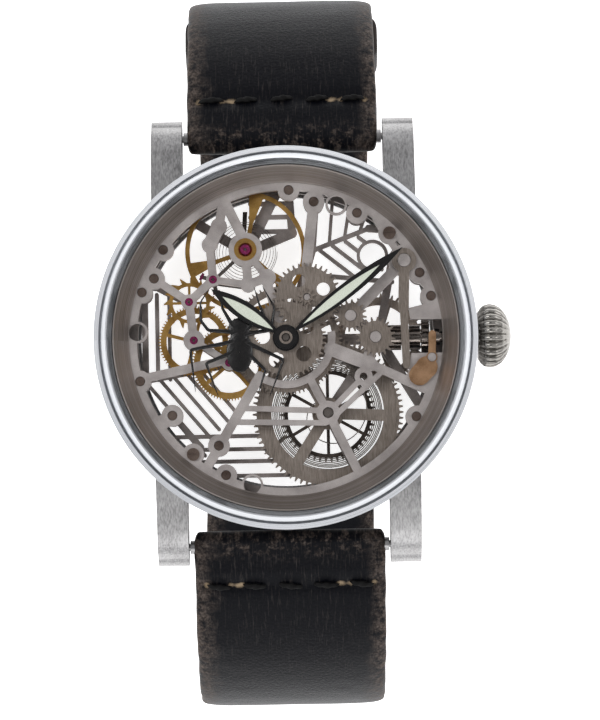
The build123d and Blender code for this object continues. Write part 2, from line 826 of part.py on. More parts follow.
def make_screws():
    with BuildPart() as plate_screws:
        with BuildSketch(Plane.XY.offset(plate_low + 0.05)):
            with Locations(*pillar_places):
                Circle(pillar_screw_radius)
        extrude(amount=plate_thickness - 0.15)
        with BuildSketch(Plane.XY.offset(plate_low)):
            with Locations(*casing_places):
                Circle(casing_screw_radius)
        extrude(amount=plate_thickness)
        with BuildSketch(Plane.XY.offset(plate_top)):
            with Locations(*casing_places):
                Circle(casing_head_radius)
        extrude(amount=0.35)
        with BuildSketch(Plane.XY.offset(plate_top + 0.35)):
            with Locations(*casing_places):
                Rectangle(3, 0.22)
        extrude(amount=-0.18, mode=Mode.SUBTRACT)
    keep(plate_screws, "plate_screws")
    with BuildPart() as bridge_screws:
        places = [rim_point(96, 1.1), rim_point(124, 1.1), rim_point(150, 1.1), rim_point(222, 1.1)]
        places += [rim_point(-80, 1.1), rim_point(-40, 1.1), rim_point(55, 1.1)]
        for place in places:
            low = wheel_back if 88 < direction(centre, place) < 132 else bridge_low
            with BuildSketch(Plane((*place, low - 0.3))):
                Circle(0.65)
                Rectangle(2, 0.2, mode=Mode.SUBTRACT)
            extrude(amount=0.3)
            with BuildSketch(Plane((*place, low - 0.15))):
                Circle(0.65)
            extrude(amount=0.15)
    keep(bridge_screws, "bridge_screws")


# ---- Going train ----

def make_going_train():
    train_tooth = (barrel_teeth, barrel_module, 0)
    teeth_low = barrel_low + 0.5
    outer = barrel_module * (barrel_teeth / 2 - dedendum)
    drum = outer - 1.35
    with BuildPart() as drum_part:
        with BuildSketch(Plane((*barrel, teeth_low))):
            add(tooth_face(*train_tooth))
            Circle(drum - 0.3, mode=Mode.SUBTRACT)
            Circle(1.75)
            with PolarLocations(0, 3, start_angle=-3):
                Rectangle(drum, 1.25, align=(Align.MIN, Align.CENTER))
            Circle(0.85, mode=Mode.SUBTRACT)
        extrude(amount=0.45)
        with BuildSketch(Plane((*barrel, barrel_low))):
            Circle(drum)
            Circle(drum - 0.2, mode=Mode.SUBTRACT)
        extrude(amount=0.5)
    keep(drum_part, "barrel")
    with BuildPart() as mainspring:
        pack = drum - 0.2
        with BuildSketch(Plane((*barrel, barrel_low + 0.02))):
            add(spiral_face([0.95, 4.9, 5.1, 5.3, 5.5, 5.7, 5.85, 6.0, pack - 0.05], 60, 8, 0.11))
        extrude(amount=0.44)
    keep(mainspring, "mainspring")
    arbor(
        "barrel_arbor", barrel,
        [(1.95, wheel_back, 0.45), (wheel_back, 5.3, 0.8), (5.3, plate_top - 0.1, 0.5)],
    )
    wheel(
        "ratchet_wheel", barrel, wheel_back, wheel_back_thickness,
        (ratchet_teeth, crown_wheel_module, 0), 0.45, 1.7, 0.8, 6, 0.35, turned=90,
    )
    with BuildPart() as ratchet_screw:
        with BuildSketch(Plane((*barrel, wheel_back - 0.3))):
            Circle(1.2)
            Circle(0.45, mode=Mode.SUBTRACT)
            Rectangle(3, 0.3, mode=Mode.SUBTRACT)
        extrude(amount=0.3)
        with BuildSketch(Plane((*barrel, wheel_back - 0.15))):
            Circle(1.2)
            Circle(0.45, mode=Mode.SUBTRACT)
        extrude(amount=0.15)
    keep(ratchet_screw, "ratchet_screw")
    wheel(
        "centre_wheel", centre, 5.6, 0.2,
        (centre_teeth, centre_module, 0), 0.75, 1.3, 0.55, 4, 0.5, turned=20,
    )
    arbor(
        "centre_arbor", centre,
        [(2.95, 4.05, 0.35), (4.05, 5.6, 0.5), (5.6, 5.85, 0.55), (5.85, 7.6, 0.42), (7.6, 9.3, 0.36)],
        (4.1, 4.85, centre_leaves, barrel_module, centre_leaf_phase),
    )
    wheel(
        "third_wheel", third, 4.9, 0.2,
        (third_teeth, third_module, 0), 0.7, 0.9, 0.3, 4, 0.4, turned=40,
    )
    arbor(
        "third_pinion", third,
        [(2.95, 3.9, pivot_radius), (3.9, 5.85, 0.3), (5.85, plate_top - 0.1, pivot_radius)],
        (5.42, 5.84, third_leaves, centre_module, third_leaf_phase),
    )
    wheel(
        "fourth_wheel", fourth, 4.2, 0.2,
        (fourth_teeth, fourth_module, 0), 0.65, 0.9, 0.2, 4, 0.38, turned=75,
    )
    arbor(
        "fourth_pinion", fourth,
        [(2.95, 3.9, pivot_radius), (3.9, 5.5, 0.2), (5.5, plate_top - 0.1, pivot_radius)],
        (4.78, 5.2, fourth_leaves, third_module, fourth_leaf_phase),
    )
    arbor(
        "escape_pinion", escape,
        [(2.95, 3.9, pivot_radius), (3.9, 5.5, 0.2), (5.5, plate_top - 0.1, pivot_radius)],
        (4.08, 4.55, escape_leaves, fourth_module, escape_leaf_phase),
    )


def make_escapement():
    tip, root = 2.85, 2.25
    points = []
    for tooth in range(escape_teeth):
        start = tooth * 360 / escape_teeth
        points += [polar(root, start), polar(tip, start + 13)]
        points += [polar(tip, start + 15.5), polar(root, start + 15)]
    with BuildPart() as escape_wheel:
        with BuildSketch(Plane((*escape, 4.9))):
            with BuildLine():
                Polyline(*points, close=True)
            make_face()
            Circle(root - 0.4, mode=Mode.SUBTRACT)
            Circle(0.55)
            with PolarLocations(0, 4):
                Rectangle(root - 0.2, 0.28, align=(Align.MIN, Align.CENTER))
            Circle(0.2, mode=Mode.SUBTRACT)
        extrude(amount=0.2)
    keep(escape_wheel, "escape_wheel")
    to_escape = direction(pallet, escape)
    to_balance = direction(pallet, balance)
    arm = 1.35
    entry, exit_point = polar(arm, to_escape + 62, pallet), polar(arm, to_escape - 62, pallet)
    fork_end = polar(distance(pallet, balance) - 1.15, to_balance, pallet)
    with BuildPart() as pallet_fork:
        with BuildSketch(Plane.XY.offset(4.9)):
            strut(entry, pallet, 0.45)
            strut(exit_point, pallet, 0.45)
            strut(pallet, fork_end, 0.38)
            disc(pallet, 0.5)
        extrude(amount=0.2)
        with BuildSketch(Plane((*pallet, 4.35))):
            Circle(pivot_radius)
        extrude(amount=plate_top - 0.1 - 4.35)
    keep(pallet_fork, "pallet_fork")
    with BuildPart() as pallet_stones:
        for place, lean in ((entry, -20), (exit_point, 20)):
            with BuildSketch(Plane((*place, 5.1))):
                Rectangle(0.85, 0.3, rotation=to_escape + lean)
            extrude(amount=0.16)
    keep(pallet_stones, "pallet_stones")


def make_balance():
    rim = 6.7
    arm_end = rim - 0.25
    arm_outline = Polyline(
        (0, 0.3), (3.2, 0.22), (arm_end, 0.85), (arm_end, -0.85), (3.2, -0.22), (0, -0.3), close=True
    )
    arm = make_face(arm_outline.edges())
    with BuildPart() as balance_wheel:
        with BuildSketch(Plane((*balance, 3.80))):
            Circle(rim)
            Circle(rim - 0.5, mode=Mode.SUBTRACT)
        extrude(amount=0.42)
        with BuildSketch(Plane((*balance, 3.88))):
            Circle(0.9)
            with PolarLocations(0, 3, start_angle=78):
                add(arm)
            Circle(0.3, mode=Mode.SUBTRACT)
        extrude(amount=0.25)
    keep(balance_wheel, "balance_wheel")
    with BuildPart() as balance_staff:
        for low, high, radius in ((2.35, 3.1, pivot_radius), (3.1, 5.4, 0.3), (4.6, 4.8, 0.6),
                                  (5.4, plate_top - 0.02, pivot_radius)):
            with BuildSketch(Plane((*balance, low))):
                Circle(radius)
            extrude(amount=high - low)
    keep(balance_staff, "balance_staff")
    with BuildPart() as hairspring:
        with BuildSketch(Plane((*balance, 3.2))):
            add(spiral_face([0.55, 1.0, 1.4, 1.8, 2.2, 2.6, 3.0, 3.3, 3.5], 0, 9, 0.06))
        extrude(amount=0.2)
    keep(hairspring, "hairspring")
    with BuildPart() as regulator:
        with BuildSketch(Plane((*balance, wheel_back - 0.22))):
            Circle(1.3)
            with BuildLine():
                Polyline((0, 0.5), (0.25, 4.6), (-0.25, 4.6), (-0.5, 0.5), close=True)
            make_face()
            Circle(regulator_bore, mode=Mode.SUBTRACT)
        extrude(amount=0.2)
    keep(regulator, "regulator")


def make_click():
    tip = polar(crown_wheel_module * (ratchet_teeth / 2 + 1) + 0.1, 207, barrel)
    with BuildPart() as click:
        with BuildSketch(Plane.XY.offset(wheel_back)):
            disc(click_stud, 0.9)
            strut(click_stud, tip, 0.45)
            disc(click_stud, click_stud_radius + running, Mode.SUBTRACT)
        extrude(amount=0.4)
    keep(click, "click")


# ---- Motion work, hands and spider ----

def make_motion_work():
    with BuildPart() as cannon_pinion:
        with BuildSketch(Plane.XY.offset(motion_low)):
            add(tooth_face(cannon_teeth, motion_module, 0))
        extrude(amount=motion_thickness)
        with BuildSketch(Plane.XY.offset(motion_low)):
            Circle(0.72)
        extrude(amount=9.2 - motion_low)
        with BuildSketch(Plane.XY.offset(motion_low)):
            Circle(0.42 + running)
        extrude(amount=9.2 - motion_low, mode=Mode.SUBTRACT)
    keep(cannon_pinion, "cannon_pinion")
    with BuildPart() as minute_wheel:
        with BuildSketch(Plane((*minute, motion_low))):
            add(tooth_face(minute_teeth, motion_module, minute_phase))
            with PolarLocations(2.0, 4, start_angle=25):
                Circle(0.72, mode=Mode.SUBTRACT)
        extrude(amount=motion_thickness)
        with BuildSketch(Plane((*minute, motion_low + motion_thickness))):
            add(tooth_face(minute_leaves, hour_module, minute_leaf_phase, leaves=True))
        extrude(amount=0.36)
        with BuildSketch(Plane((*minute, motion_low))):
            Circle(0.35 + running)
        extrude(amount=1, mode=Mode.SUBTRACT)
    keep(minute_wheel, "minute_wheel")
    with BuildPart() as hour_wheel:
        with BuildSketch(Plane.XY.offset(hour_wheel_low)):
            add(tooth_face(hour_teeth, hour_module, 0))
            with PolarLocations(2.6, 5, start_angle=30):
                Circle(0.85, mode=Mode.SUBTRACT)
        extrude(amount=0.2)
        with BuildSketch(Plane.XY.offset(hour_wheel_low)):
            Circle(1.05)
        extrude(amount=hour_hand_low + hand_thickness - hour_wheel_low)
        with BuildSketch(Plane.XY.offset(hour_wheel_low)):
            Circle(0.72 + running)
        extrude(amount=2, mode=Mode.SUBTRACT)
    keep(hour_wheel, "hour_wheel")
    for name, axis, teeth, phase in (
        ("intermediate_wheel", intermediate, intermediate_teeth, intermediate_phase),
        ("setting_wheel", setting, setting_teeth, setting_phase),
    ):
        with BuildPart() as piece:
            with BuildSketch(Plane((*axis, motion_low))):
                add(tooth_face(teeth, motion_module, phase))
                Circle(0.60 + running, mode=Mode.SUBTRACT)
            extrude(amount=motion_thickness)
        keep(piece, name)


def leaf_face(start, end, width, widest=0.5):
    """Leaf-shaped outline along +X from start to end."""
    middle = start + (end - start) * widest
    with BuildSketch() as face:
        with BuildLine():
            ThreePointArc((start, 0), (middle, width / 2), (end, 0))
            ThreePointArc((start, 0), (middle, -width / 2), (end, 0))
        make_face()
    return face.sketch


def make_hand(name, low, angle, length, width, hub, bore, lume):
    """One hand and the luminous fill of its window."""
    lume_start, lume_end, lume_width = lume
    plane = Plane(origin=(0, 0, low), x_dir=(cos(radians(angle)), sin(radians(angle)), 0))
    with BuildPart() as hand:
        with BuildSketch(plane):
            add(leaf_face(hub * 0.6, length, width, 0.45))
            Circle(hub)
            add(leaf_face(lume_start, lume_end, lume_width), mode=Mode.SUBTRACT)
            Circle(bore, mode=Mode.SUBTRACT)
        extrude(amount=hand_thickness)
    keep(hand, name)
    with BuildPart() as fill:
        with BuildSketch(plane.offset(0.03)):
            add(leaf_face(lume_start, lume_end, lume_width))
        extrude(amount=hand_thickness - 0.05)
    keep(fill, name + "_lume")


def make_spider():
    legs = [
        [(-6.0, 0.8), (-8.5, 1.0), (-9.3, 2.1), (-9.3, 4.1), (-8.3, 5.6)],
        [(-6.0, 1.8), (-6.9, 3.4), (-7.1, 4.6), (-7.6, 5.5)],
        [(-3.9, 1.4), (-2.3, 2.3), (-2.9, 3.9), (-3.4, 5.7)],
        [(-3.9, 0.6), (-1.6, 0.9), (-1.2, 3.4), (-2.5, 5.8)],
        [(-6.3, -0.4), (-10.5, -1.1), (-10.0, -5.8)],
        [(-6.2, -1.6), (-8.8, -2.6), (-7.5, -6.3)],
        [(-3.9, -0.6), (-0.3, -2.4), (-1.9, -6.4)],
        [(-4.2, -1.6), (-2.3, -3.5), (-3.2, -6.2)],
    ]
    with BuildPart() as spider:
        with BuildSketch(Plane.XY.offset(spider_low)):
            with Locations((-5.1, -1.15)):
                Ellipse(1.45, 2.55)
            with Locations((-5.1, 1.35)):
                Ellipse(1.15, 1.0)
            for leg in legs:
                for joint in range(len(leg) - 1):
                    strut(leg[joint], leg[joint + 1], 0.42 - 0.07 * joint)
        extrude(amount=spider_thickness)
        with BuildSketch(Plane.XY.offset(plate_top)):
            disc((-5.8, -2.04), 0.45)
        extrude(amount=spider_low - plate_top)
    keep(spider, "spider")


# ---- Strap ----

shoulder_y = spring_bar_y + first_run * cos(radians(first_slope))
shoulder_z = spring_bar_z - first_run * sin(radians(first_slope))
shoulder_centre = (
    shoulder_y - shoulder_radius * sin(radians(first_slope)),
    shoulder_z - shoulder_radius * cos(radians(first_slope)),
)
side_y = shoulder_centre[0] + shoulder_radius
side_top, side_low = shoulder_centre[1], shoulder_centre[1] - side_run
floor_centre = (side_y - floor_radius, side_low)
floor_level = side_low - floor_radius
shoulder_length = shoulder_radius * radians(90 - first_slope)
short_turn = degrees((short_length - first_run - shoulder_length - side_run) / floor_radius)
buckle_y = floor_centre[0] + floor_radius * cos(radians(short_turn))
buckle_z = floor_centre[1] - floor_radius * sin(radians(short_turn))
strap_sole = floor_level - strap_thickness / 2


def side_plane(side):
    """Plane of the strap's side outline; its first axis points away from the watch head."""
    return Plane(origin=(0, 0, 0), x_dir=(0, side, 0), z_dir=(side, 0, 0))


def strap_path_face(turn, tail=False):
    """Side outline of a strap half: centre line thickened, from its bar to its far end."""
    half = strap_thickness / 2
    slope = (sin(radians(first_slope)) * half, cos(radians(first_slope)) * half)
    with BuildSketch() as face:
        with BuildLine():
            top = Line(
                (spring_bar_y + slope[0], spring_bar_z + slope[1]),
                (shoulder_y + slope[0], shoulder_z + slope[1]),
            )
            upper = CenterArc(shoulder_centre, shoulder_radius + half, 90 - first_slope, first_slope - 90)
            Line(upper @ 1, (side_y + half, side_low))
            outer = CenterArc(floor_centre, floor_radius + half, 0, -turn)
            if tail:
                curl_centre = (floor_centre[0] - tail_run, floor_level + tail_radius)
                Line(outer @ 1, (floor_centre[0] - tail_run, floor_level - half))
                curl = CenterArc(curl_centre, tail_radius + half, 270, -90)
                Line(curl @ 1, ((curl @ 1).X + 2 * half, (curl @ 1).Y))
                back = CenterArc(curl_centre, tail_radius - half, 180, 90)
                Line(back @ 1, (floor_centre[0], floor_level + half))
                Line(top @ 0, (top @ 0).sub(Vector(2 * slope[0], 2 * slope[1])))
            else:
                Line(outer @ 1, floor_inner_end(turn, half))
                Line(top @ 0, (top @ 0).sub(Vector(2 * slope[0], 2 * slope[1])))
            CenterArc(floor_centre, floor_radius - half, 0, -turn)
            Line((side_y - half, side_top), (side_y - half, side_low))
            CenterArc(shoulder_centre, shoulder_radius - half, 90 - first_slope, first_slope - 90)
            Line(
                (spring_bar_y - slope[0], spring_bar_z - slope[1]),
                (shoulder_y - slope[0], shoulder_z - slope[1]),
            )
        make_face()
    return face.sketch


def floor_inner_end(turn, half):
    reach = floor_radius - half
    return (floor_centre[0] + reach * cos(radians(turn)), floor_centre[1] - reach * sin(radians(turn)))


def make_strap_half(name, side, turn, tail):
    across = side_plane(side)
    with BuildPart() as strap:
        with BuildSketch(across.offset(-strap_width / 2)):
            add(strap_path_face(turn, tail))
            disc((spring_bar_y, spring_bar_z), strap_end_radius)
            if not tail:
                disc((buckle_y, buckle_z), strap_end_radius)
                disc((buckle_y, buckle_z), strap_bore, Mode.SUBTRACT)
            disc((spring_bar_y, spring_bar_z), strap_bore, Mode.SUBTRACT)
        extrude(amount=strap_width)
        if tail:
            tip_y = floor_centre[0] - tail_run - tail_radius
            tip = Plane(origin=(0, side * (tip_y - 3), 0), x_dir=(1, 0, 0), z_dir=(0, side, 0))
            rounding = strap_width / 2
            top = floor_level + tail_radius
            with BuildSketch(tip):
                with BuildLine():
                    Polyline(
                        (-rounding, top - 6), (-rounding, top + 1), (rounding, top + 1), (rounding, top - 6)
                    )
                    ThreePointArc((rounding, top - 6), (0, top), (-rounding, top - 6))
                make_face()
            extrude(amount=6, mode=Mode.SUBTRACT)
            for hole in range(strap_holes):
                angle = 180 + 25 + hole * degrees(strap_hole_pitch / floor_radius)
                cut = Plane(
                    origin=(0, side * floor_centre[0], floor_centre[1]),
                    x_dir=(1, 0, 0),
                    z_dir=(0, -side * cos(radians(angle)), sin(radians(angle))),
                )
                with BuildSketch(cut.offset(floor_radius - 3)):
                    Circle(0.9)
                extrude(amount=6, mode=Mode.SUBTRACT)
        else:
            with BuildSketch(Plane.XY.offset(buckle_z - 3)):
                with Locations((0, side * (buckle_y + (tongue_slot_outward - tongue_slot_inward) / 2))):
                    Rectangle(tongue_slot_width, tongue_slot_inward + tongue_slot_outward)
            extrude(amount=6, mode=Mode.SUBTRACT)
    keep(strap, name)


def make_buckle():
    inside = strap_width / 2 + strap_gap
    outside = inside + buckle_arm
    far = buckle_y - buckle_reach
    with BuildPart() as buckle_frame:
        with BuildSketch(Plane.XY.offset(strap_sole)):
            with Locations((0, (buckle_y + 1.6 + far) / 2)):
                RectangleRounded(2 * outside, buckle_y + 1.6 - far, 1.5)
            with Locations((0, (buckle_y + far + 2.2) / 2 + 2)):
                Rectangle(2 * inside, buckle_y - far - 2.2 + 4, mode=Mode.SUBTRACT)
        extrude(amount=2.2)
        fillet(buckle_frame.faces().sort_by(Axis.Z)[-1].outer_wire().edges(), 0.5)
        bar_plane = Plane(origin=(-outside + 0.4, buckle_y, buckle_z), z_dir=(1, 0, 0))
        with BuildSketch(bar_plane):
            Circle(spring_bar_radius)
        extrude(amount=2 * outside - 0.8, mode=Mode.SUBTRACT)
    keep(buckle_frame, "buckle_frame")
    with BuildPart() as buckle_bar:
        with BuildSketch(bar_plane):
            Circle(spring_bar_radius)
        extrude(amount=2 * outside - 0.8)
    keep(buckle_bar, "buckle_bar")
    rest = strap_sole + 2.2 + 0.05
    with BuildPart() as buckle_tongue:
        with BuildSketch(side_plane(1).offset(-1.0)):
            disc((buckle_y, buckle_z), 1.45)
            with BuildLine():
                Polyline(
                    (buckle_y, buckle_z + 1.45), (far + 3, rest + 1.1), (far + 0.2, rest + 0.6),
                    (far + 0.2, rest), (far + 4, rest), (buckle_y, buckle_z + 0.3), close=True,
                )
            make_face()
            disc((buckle_y, buckle_z), strap_bore, Mode.SUBTRACT)
        extrude(amount=2.0)
    keep(buckle_tongue, "buckle_tongue")


def make_keepers():
    inner_height = 1.8 * strap_thickness + 0.3
    inner_width = strap_width + 0.3
    first = first_run + shoulder_length + side_run
    for name, along, length in (("keeper_fixed", 62.0, keeper_length), ("keeper_free", 50.0, keeper_length)):
        angle = degrees((along - first) / floor_radius)
        out = (0, cos(radians(angle)), -sin(radians(angle)))
        middle = floor_radius - strap_thickness / 2 - 0.15 + inner_height / 2
        place = Plane(
            origin=(0, floor_centre[0] + middle * out[1], floor_centre[1] + middle * out[2]),
            x_dir=(1, 0, 0),
            z_dir=(0, sin(radians(angle)), cos(radians(angle))),
        )
        with BuildPart() as keeper:
            with BuildSketch(place.offset(-length / 2)):
                RectangleRounded(inner_width + 2 * keeper_wall, inner_height + 2 * keeper_wall, 1.0)
                RectangleRounded(inner_width, inner_height, 0.4, mode=Mode.SUBTRACT)
            extrude(amount=length)
        keep(keeper, name)


make_case_band()
make_bezel()
make_crystals()
make_case_back()
make_flange()
make_spring_bars()
make_crown()
make_stem()
make_sliding_pinion()
make_winding_pinion()
make_crown_wheel()
make_yoke()
make_setting_lever()
make_main_plate()
make_barrel_bridge()
make_train_bridge()
make_balance_cock()
make_pallet_bridge()
make_jewels()
make_balance_setting()
make_screws()
make_going_train()
make_escapement()
make_balance()
make_click()
make_motion_work()
make_hand("minute_hand", minute_hand_low, minute_hand_angle, 16.2, 1.7, 1.25, 0.72, (2.3, 13.0, 0.98))
make_hand("hour_hand", hour_hand_low, hour_hand_angle, 9.8, 2.0, 1.45, 1.05, (1.65, 8.3, 1.1))
make_spider()
make_strap_half("strap_12", 1, short_turn, False)
make_strap_half("strap_6", -1, 90, True)
make_buckle()
make_keepers()
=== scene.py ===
# %% [markdown]
# # A skeletonised wristwatch
# The mechanical model is already finished: every wheel, bridge and bar comes in from the
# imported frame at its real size. This lesson gives each of them a believable surface. It
# replaces the few pieces that a plain solid can't describe, which are the leather strap, its
# keepers, the fluted crown and the rounded spider, and it sews the stitches.

# %% Load the frame
import json

import bpy
import numpy as np
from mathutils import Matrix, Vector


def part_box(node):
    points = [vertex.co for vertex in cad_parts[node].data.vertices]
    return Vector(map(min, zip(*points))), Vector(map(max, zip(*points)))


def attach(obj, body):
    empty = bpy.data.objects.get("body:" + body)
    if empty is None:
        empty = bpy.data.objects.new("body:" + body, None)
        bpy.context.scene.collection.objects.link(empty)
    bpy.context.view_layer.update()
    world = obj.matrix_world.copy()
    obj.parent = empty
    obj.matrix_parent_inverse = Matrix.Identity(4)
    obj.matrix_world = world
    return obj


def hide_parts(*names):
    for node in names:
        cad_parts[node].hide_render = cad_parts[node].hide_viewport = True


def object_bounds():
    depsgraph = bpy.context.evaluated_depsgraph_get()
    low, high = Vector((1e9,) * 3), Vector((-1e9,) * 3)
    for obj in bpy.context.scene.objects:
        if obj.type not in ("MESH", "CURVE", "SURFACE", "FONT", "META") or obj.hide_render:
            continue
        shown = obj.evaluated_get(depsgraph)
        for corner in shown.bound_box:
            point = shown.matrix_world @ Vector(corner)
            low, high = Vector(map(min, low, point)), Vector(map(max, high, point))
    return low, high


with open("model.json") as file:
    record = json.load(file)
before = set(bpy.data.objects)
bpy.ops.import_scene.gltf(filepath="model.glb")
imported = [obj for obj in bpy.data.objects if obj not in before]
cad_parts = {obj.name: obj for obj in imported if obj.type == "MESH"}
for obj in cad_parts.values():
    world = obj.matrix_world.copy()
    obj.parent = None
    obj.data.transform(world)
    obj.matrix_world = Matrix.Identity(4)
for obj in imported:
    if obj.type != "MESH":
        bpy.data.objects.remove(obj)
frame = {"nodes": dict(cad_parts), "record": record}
nodes = frame["nodes"]
cad_bounds = [list(corner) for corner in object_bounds()]
MM = 0.001
rng = np.random.default_rng(12)
print("CAD box in metres:", cad_bounds)

# %% [markdown]
# ## Camera
# The watch is seen almost straight from above. The camera leans a few degrees towards six
# o'clock and stands far away with a long lens, which keeps the round case round.

# %% Camera
CAMERA_LEAN = np.radians(3.2)
CAMERA_ROLL = np.radians(-1.1)
CAMERA_DISTANCE = 390 * MM
VIEW_WIDTH = 65.6 * MM
SENSOR = 36.0
aim = np.array([1.5, -2.5, 9.0]) * MM

camera_data = bpy.data.cameras.new("camera")
camera_data.sensor_fit = "HORIZONTAL"
camera_data.sensor_width = SENSOR
camera_data.lens = SENSOR * CAMERA_DISTANCE / VIEW_WIDTH
camera_data.clip_start = 0.01
camera = bpy.data.objects.new("camera", camera_data)
bpy.context.collection.objects.link(camera)
backwards = np.array([
    np.sin(CAMERA_ROLL) * np.sin(CAMERA_LEAN),
    -np.cos(CAMERA_ROLL) * np.sin(CAMERA_LEAN),
    np.cos(CAMERA_LEAN),
])
camera.location = aim + CAMERA_DISTANCE * backwards
camera.rotation_mode = "XYZ"
camera.rotation_euler = (CAMERA_LEAN, 0, CAMERA_ROLL)
bpy.context.scene.camera = camera
print("lens in mm:", round(camera_data.lens, 1))


# %% [markdown]
# ## Helpers for surfaces
# Each new piece is worked out as arrays of points on a grid and turned into a mesh once.
# `grid_faces` numbers the quads of such a grid, `make_mesh` puts points and faces into Blender.
# `boxy` squares off a circle: two of them, one on each axis, draw a flat oval.

# %% Mesh helpers
def grid_faces(rows, columns, close_rows=False, close_columns=False, first=0):
    """Quads of a rows x columns grid of points, numbered row by row from first."""
    r = np.arange(rows if close_rows else rows - 1)
    c = np.arange(columns if close_columns else columns - 1)
    r, c = (axis.ravel() for axis in np.meshgrid(r, c, indexing="ij"))
    up, right = (r + 1) % rows, (c + 1) % columns
    quads = np.stack([r * columns + c, r * columns + right, up * columns + right, up * columns + c], 1)
    return quads + first


def make_mesh(name, points, faces, material, body, replaces=(), smooth=True):
    """A finished piece from points in millimetres, riding on a body of the frame."""
    mesh = bpy.data.meshes.new(name)
    mesh.from_pydata((np.asarray(points).reshape(-1, 3) * MM).tolist(), [], [list(f) for f in faces])
    mesh.validate()
    mesh.polygons.foreach_set("use_smooth", np.full(len(mesh.polygons), smooth))
    piece = bpy.data.objects.new(name, mesh)
    bpy.context.collection.objects.link(piece)
    mesh.materials.append(material)
    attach(piece, body)
    if replaces:
        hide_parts(*replaces)
    print(f"{name}: {len(mesh.polygons)} faces")
    return piece


def box_mm(node):
    """Lowest and highest corner of a CAD node, in millimetres."""
    low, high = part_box(node)
    return np.array(low) / MM, np.array(high) / MM


def boxy(wave, power):
    """Superellipse: sign(wave) * |wave| ** power, squarer the smaller the power."""
    return np.sign(wave) * np.abs(wave) ** power


def full_turn(count):
    """Angles round a circle, the first one not repeated at the end."""
    return np.linspace(0, 2 * np.pi, count, endpoint=False)


print("mesh helpers ready")


# %% [markdown]
# ## Helpers for materials
# A colour is written as a paint chip would be, as an sRGB hex value, and turned to linear
# light once. `node` adds one shader node with its settings and its links.

# %% Material helpers
def linear(hex_colour):
    """Linear RGBA of an sRGB hex value: each channel above 0.04045 is ((c + 0.055) / 1.055) ** 2.4."""
    channels = np.array([int(hex_colour[i:i + 2], 16) for i in (1, 3, 5)]) / 255
    low, high = channels / 12.92, ((channels + 0.055) / 1.055) ** 2.4
    return (*np.where(channels <= 0.04045, low, high), 1.0)


def socket_of(made, key):
    """The input of a node that key names: i3 is input 3, and an underscore stands for a space."""
    numbered = key[0] == "i" and key[1:].isdigit()
    return made.inputs[int(key[1:]) if numbered else key.replace("_", " ")]


def node(material, kind, settings=(), **inputs):
    """Adds a shader node; an input given as a socket is linked, anything else is its value."""
    made = material.node_tree.nodes.new(kind)
    for key, value in dict(settings).items():
        setattr(made, key, value)
    for key, value in inputs.items():
        if isinstance(value, bpy.types.NodeSocket):
            connect(material, value, socket_of(made, key))
        else:
            socket_of(made, key).default_value = value
    return made


def connect(material, source, socket):
    """Links an output to an input."""
    material.node_tree.links.new(source, socket)


def start_material(name, roughness, metallic=0.0):
    """A material and its principled shader."""
    material = bpy.data.materials.new(name)
    material.use_nodes = True
    shader = material.node_tree.nodes["Principled BSDF"]
    shader.inputs["Roughness"].default_value = roughness
    shader.inputs["Metallic"].default_value = metallic
    return material, shader


def own_place(material):
    """Coordinates that ride with the piece, in metres."""
    return node(material, "ShaderNodeTexCoord").outputs["Object"]


def ramp(material, factor, stops):
    """Colour ramp over a factor; stops are (position, hex)."""
    made = node(material, "ShaderNodeValToRGB", Fac=factor)
    elements = made.color_ramp.elements
    while len(elements) < len(stops):
        elements.new(0.5)
    for element, (position, colour) in zip(elements, stops):
        element.position = position
        element.color = linear(colour)
    return made.outputs["Color"]


def maths(material, operation, a, b=0.0, c=0.0, clamp=False):
    """Result of a Math node on up to three numbers or sockets."""
    settings = {"operation": operation, "use_clamp": clamp}
    return node(material, "ShaderNodeMath", settings, i0=a, i1=b, i2=c).outputs[0]


def stretch(material, vector, factors):
    """Vector multiplied axis by axis."""
    settings = {"operation": "MULTIPLY"}
    return node(material, "ShaderNodeVectorMath", settings, i0=vector, i1=factors).outputs[0]


def noise(material, vector, scale, detail, **inputs):
    """Height of a noise texture, about 0 to 1; scale is in waves per unit of the vector."""
    made = node(material, "ShaderNodeTexNoise", Vector=vector, Scale=scale, Detail=detail, **inputs)
    return made.outputs["Fac"]


def remap(material, value, low, high, start=0.0, end=1.0):
    """Straight line that takes start..end to low..high, clamped at both ends."""
    made = node(material, "ShaderNodeMapRange", Value=value, i1=start, i2=end, i3=low, i4=high)
    return made.outputs[0]


def emboss(material, shader, height, strength, depth_mm=0.02):
    """Bumps a shader's normal by a height; depth is that of a height of 1."""
    bump = node(material, "ShaderNodeBump", Strength=strength, Distance=depth_mm * MM, Height=height)
    connect(material, bump.outputs[0], shader.inputs["Normal"])


print("material helpers ready")

# %% [markdown]
# ## Metals
# **Satin 316L steel** is finished with an abrasive belt: hundreds of fine parallel scratches
# that stretch every reflection across the grain. Noise squeezed hard along one axis draws
# them. On a ring the belt follows the circle, so there the noise reads the radius instead.
# The real scratches are about 0.02 mm apart. They are drawn 0.08 to 0.2 mm apart, widest on
# the case and the crown, so that they show.

# %% Brushed metals
RING_SQUEEZE = (1, 0.02, 1)


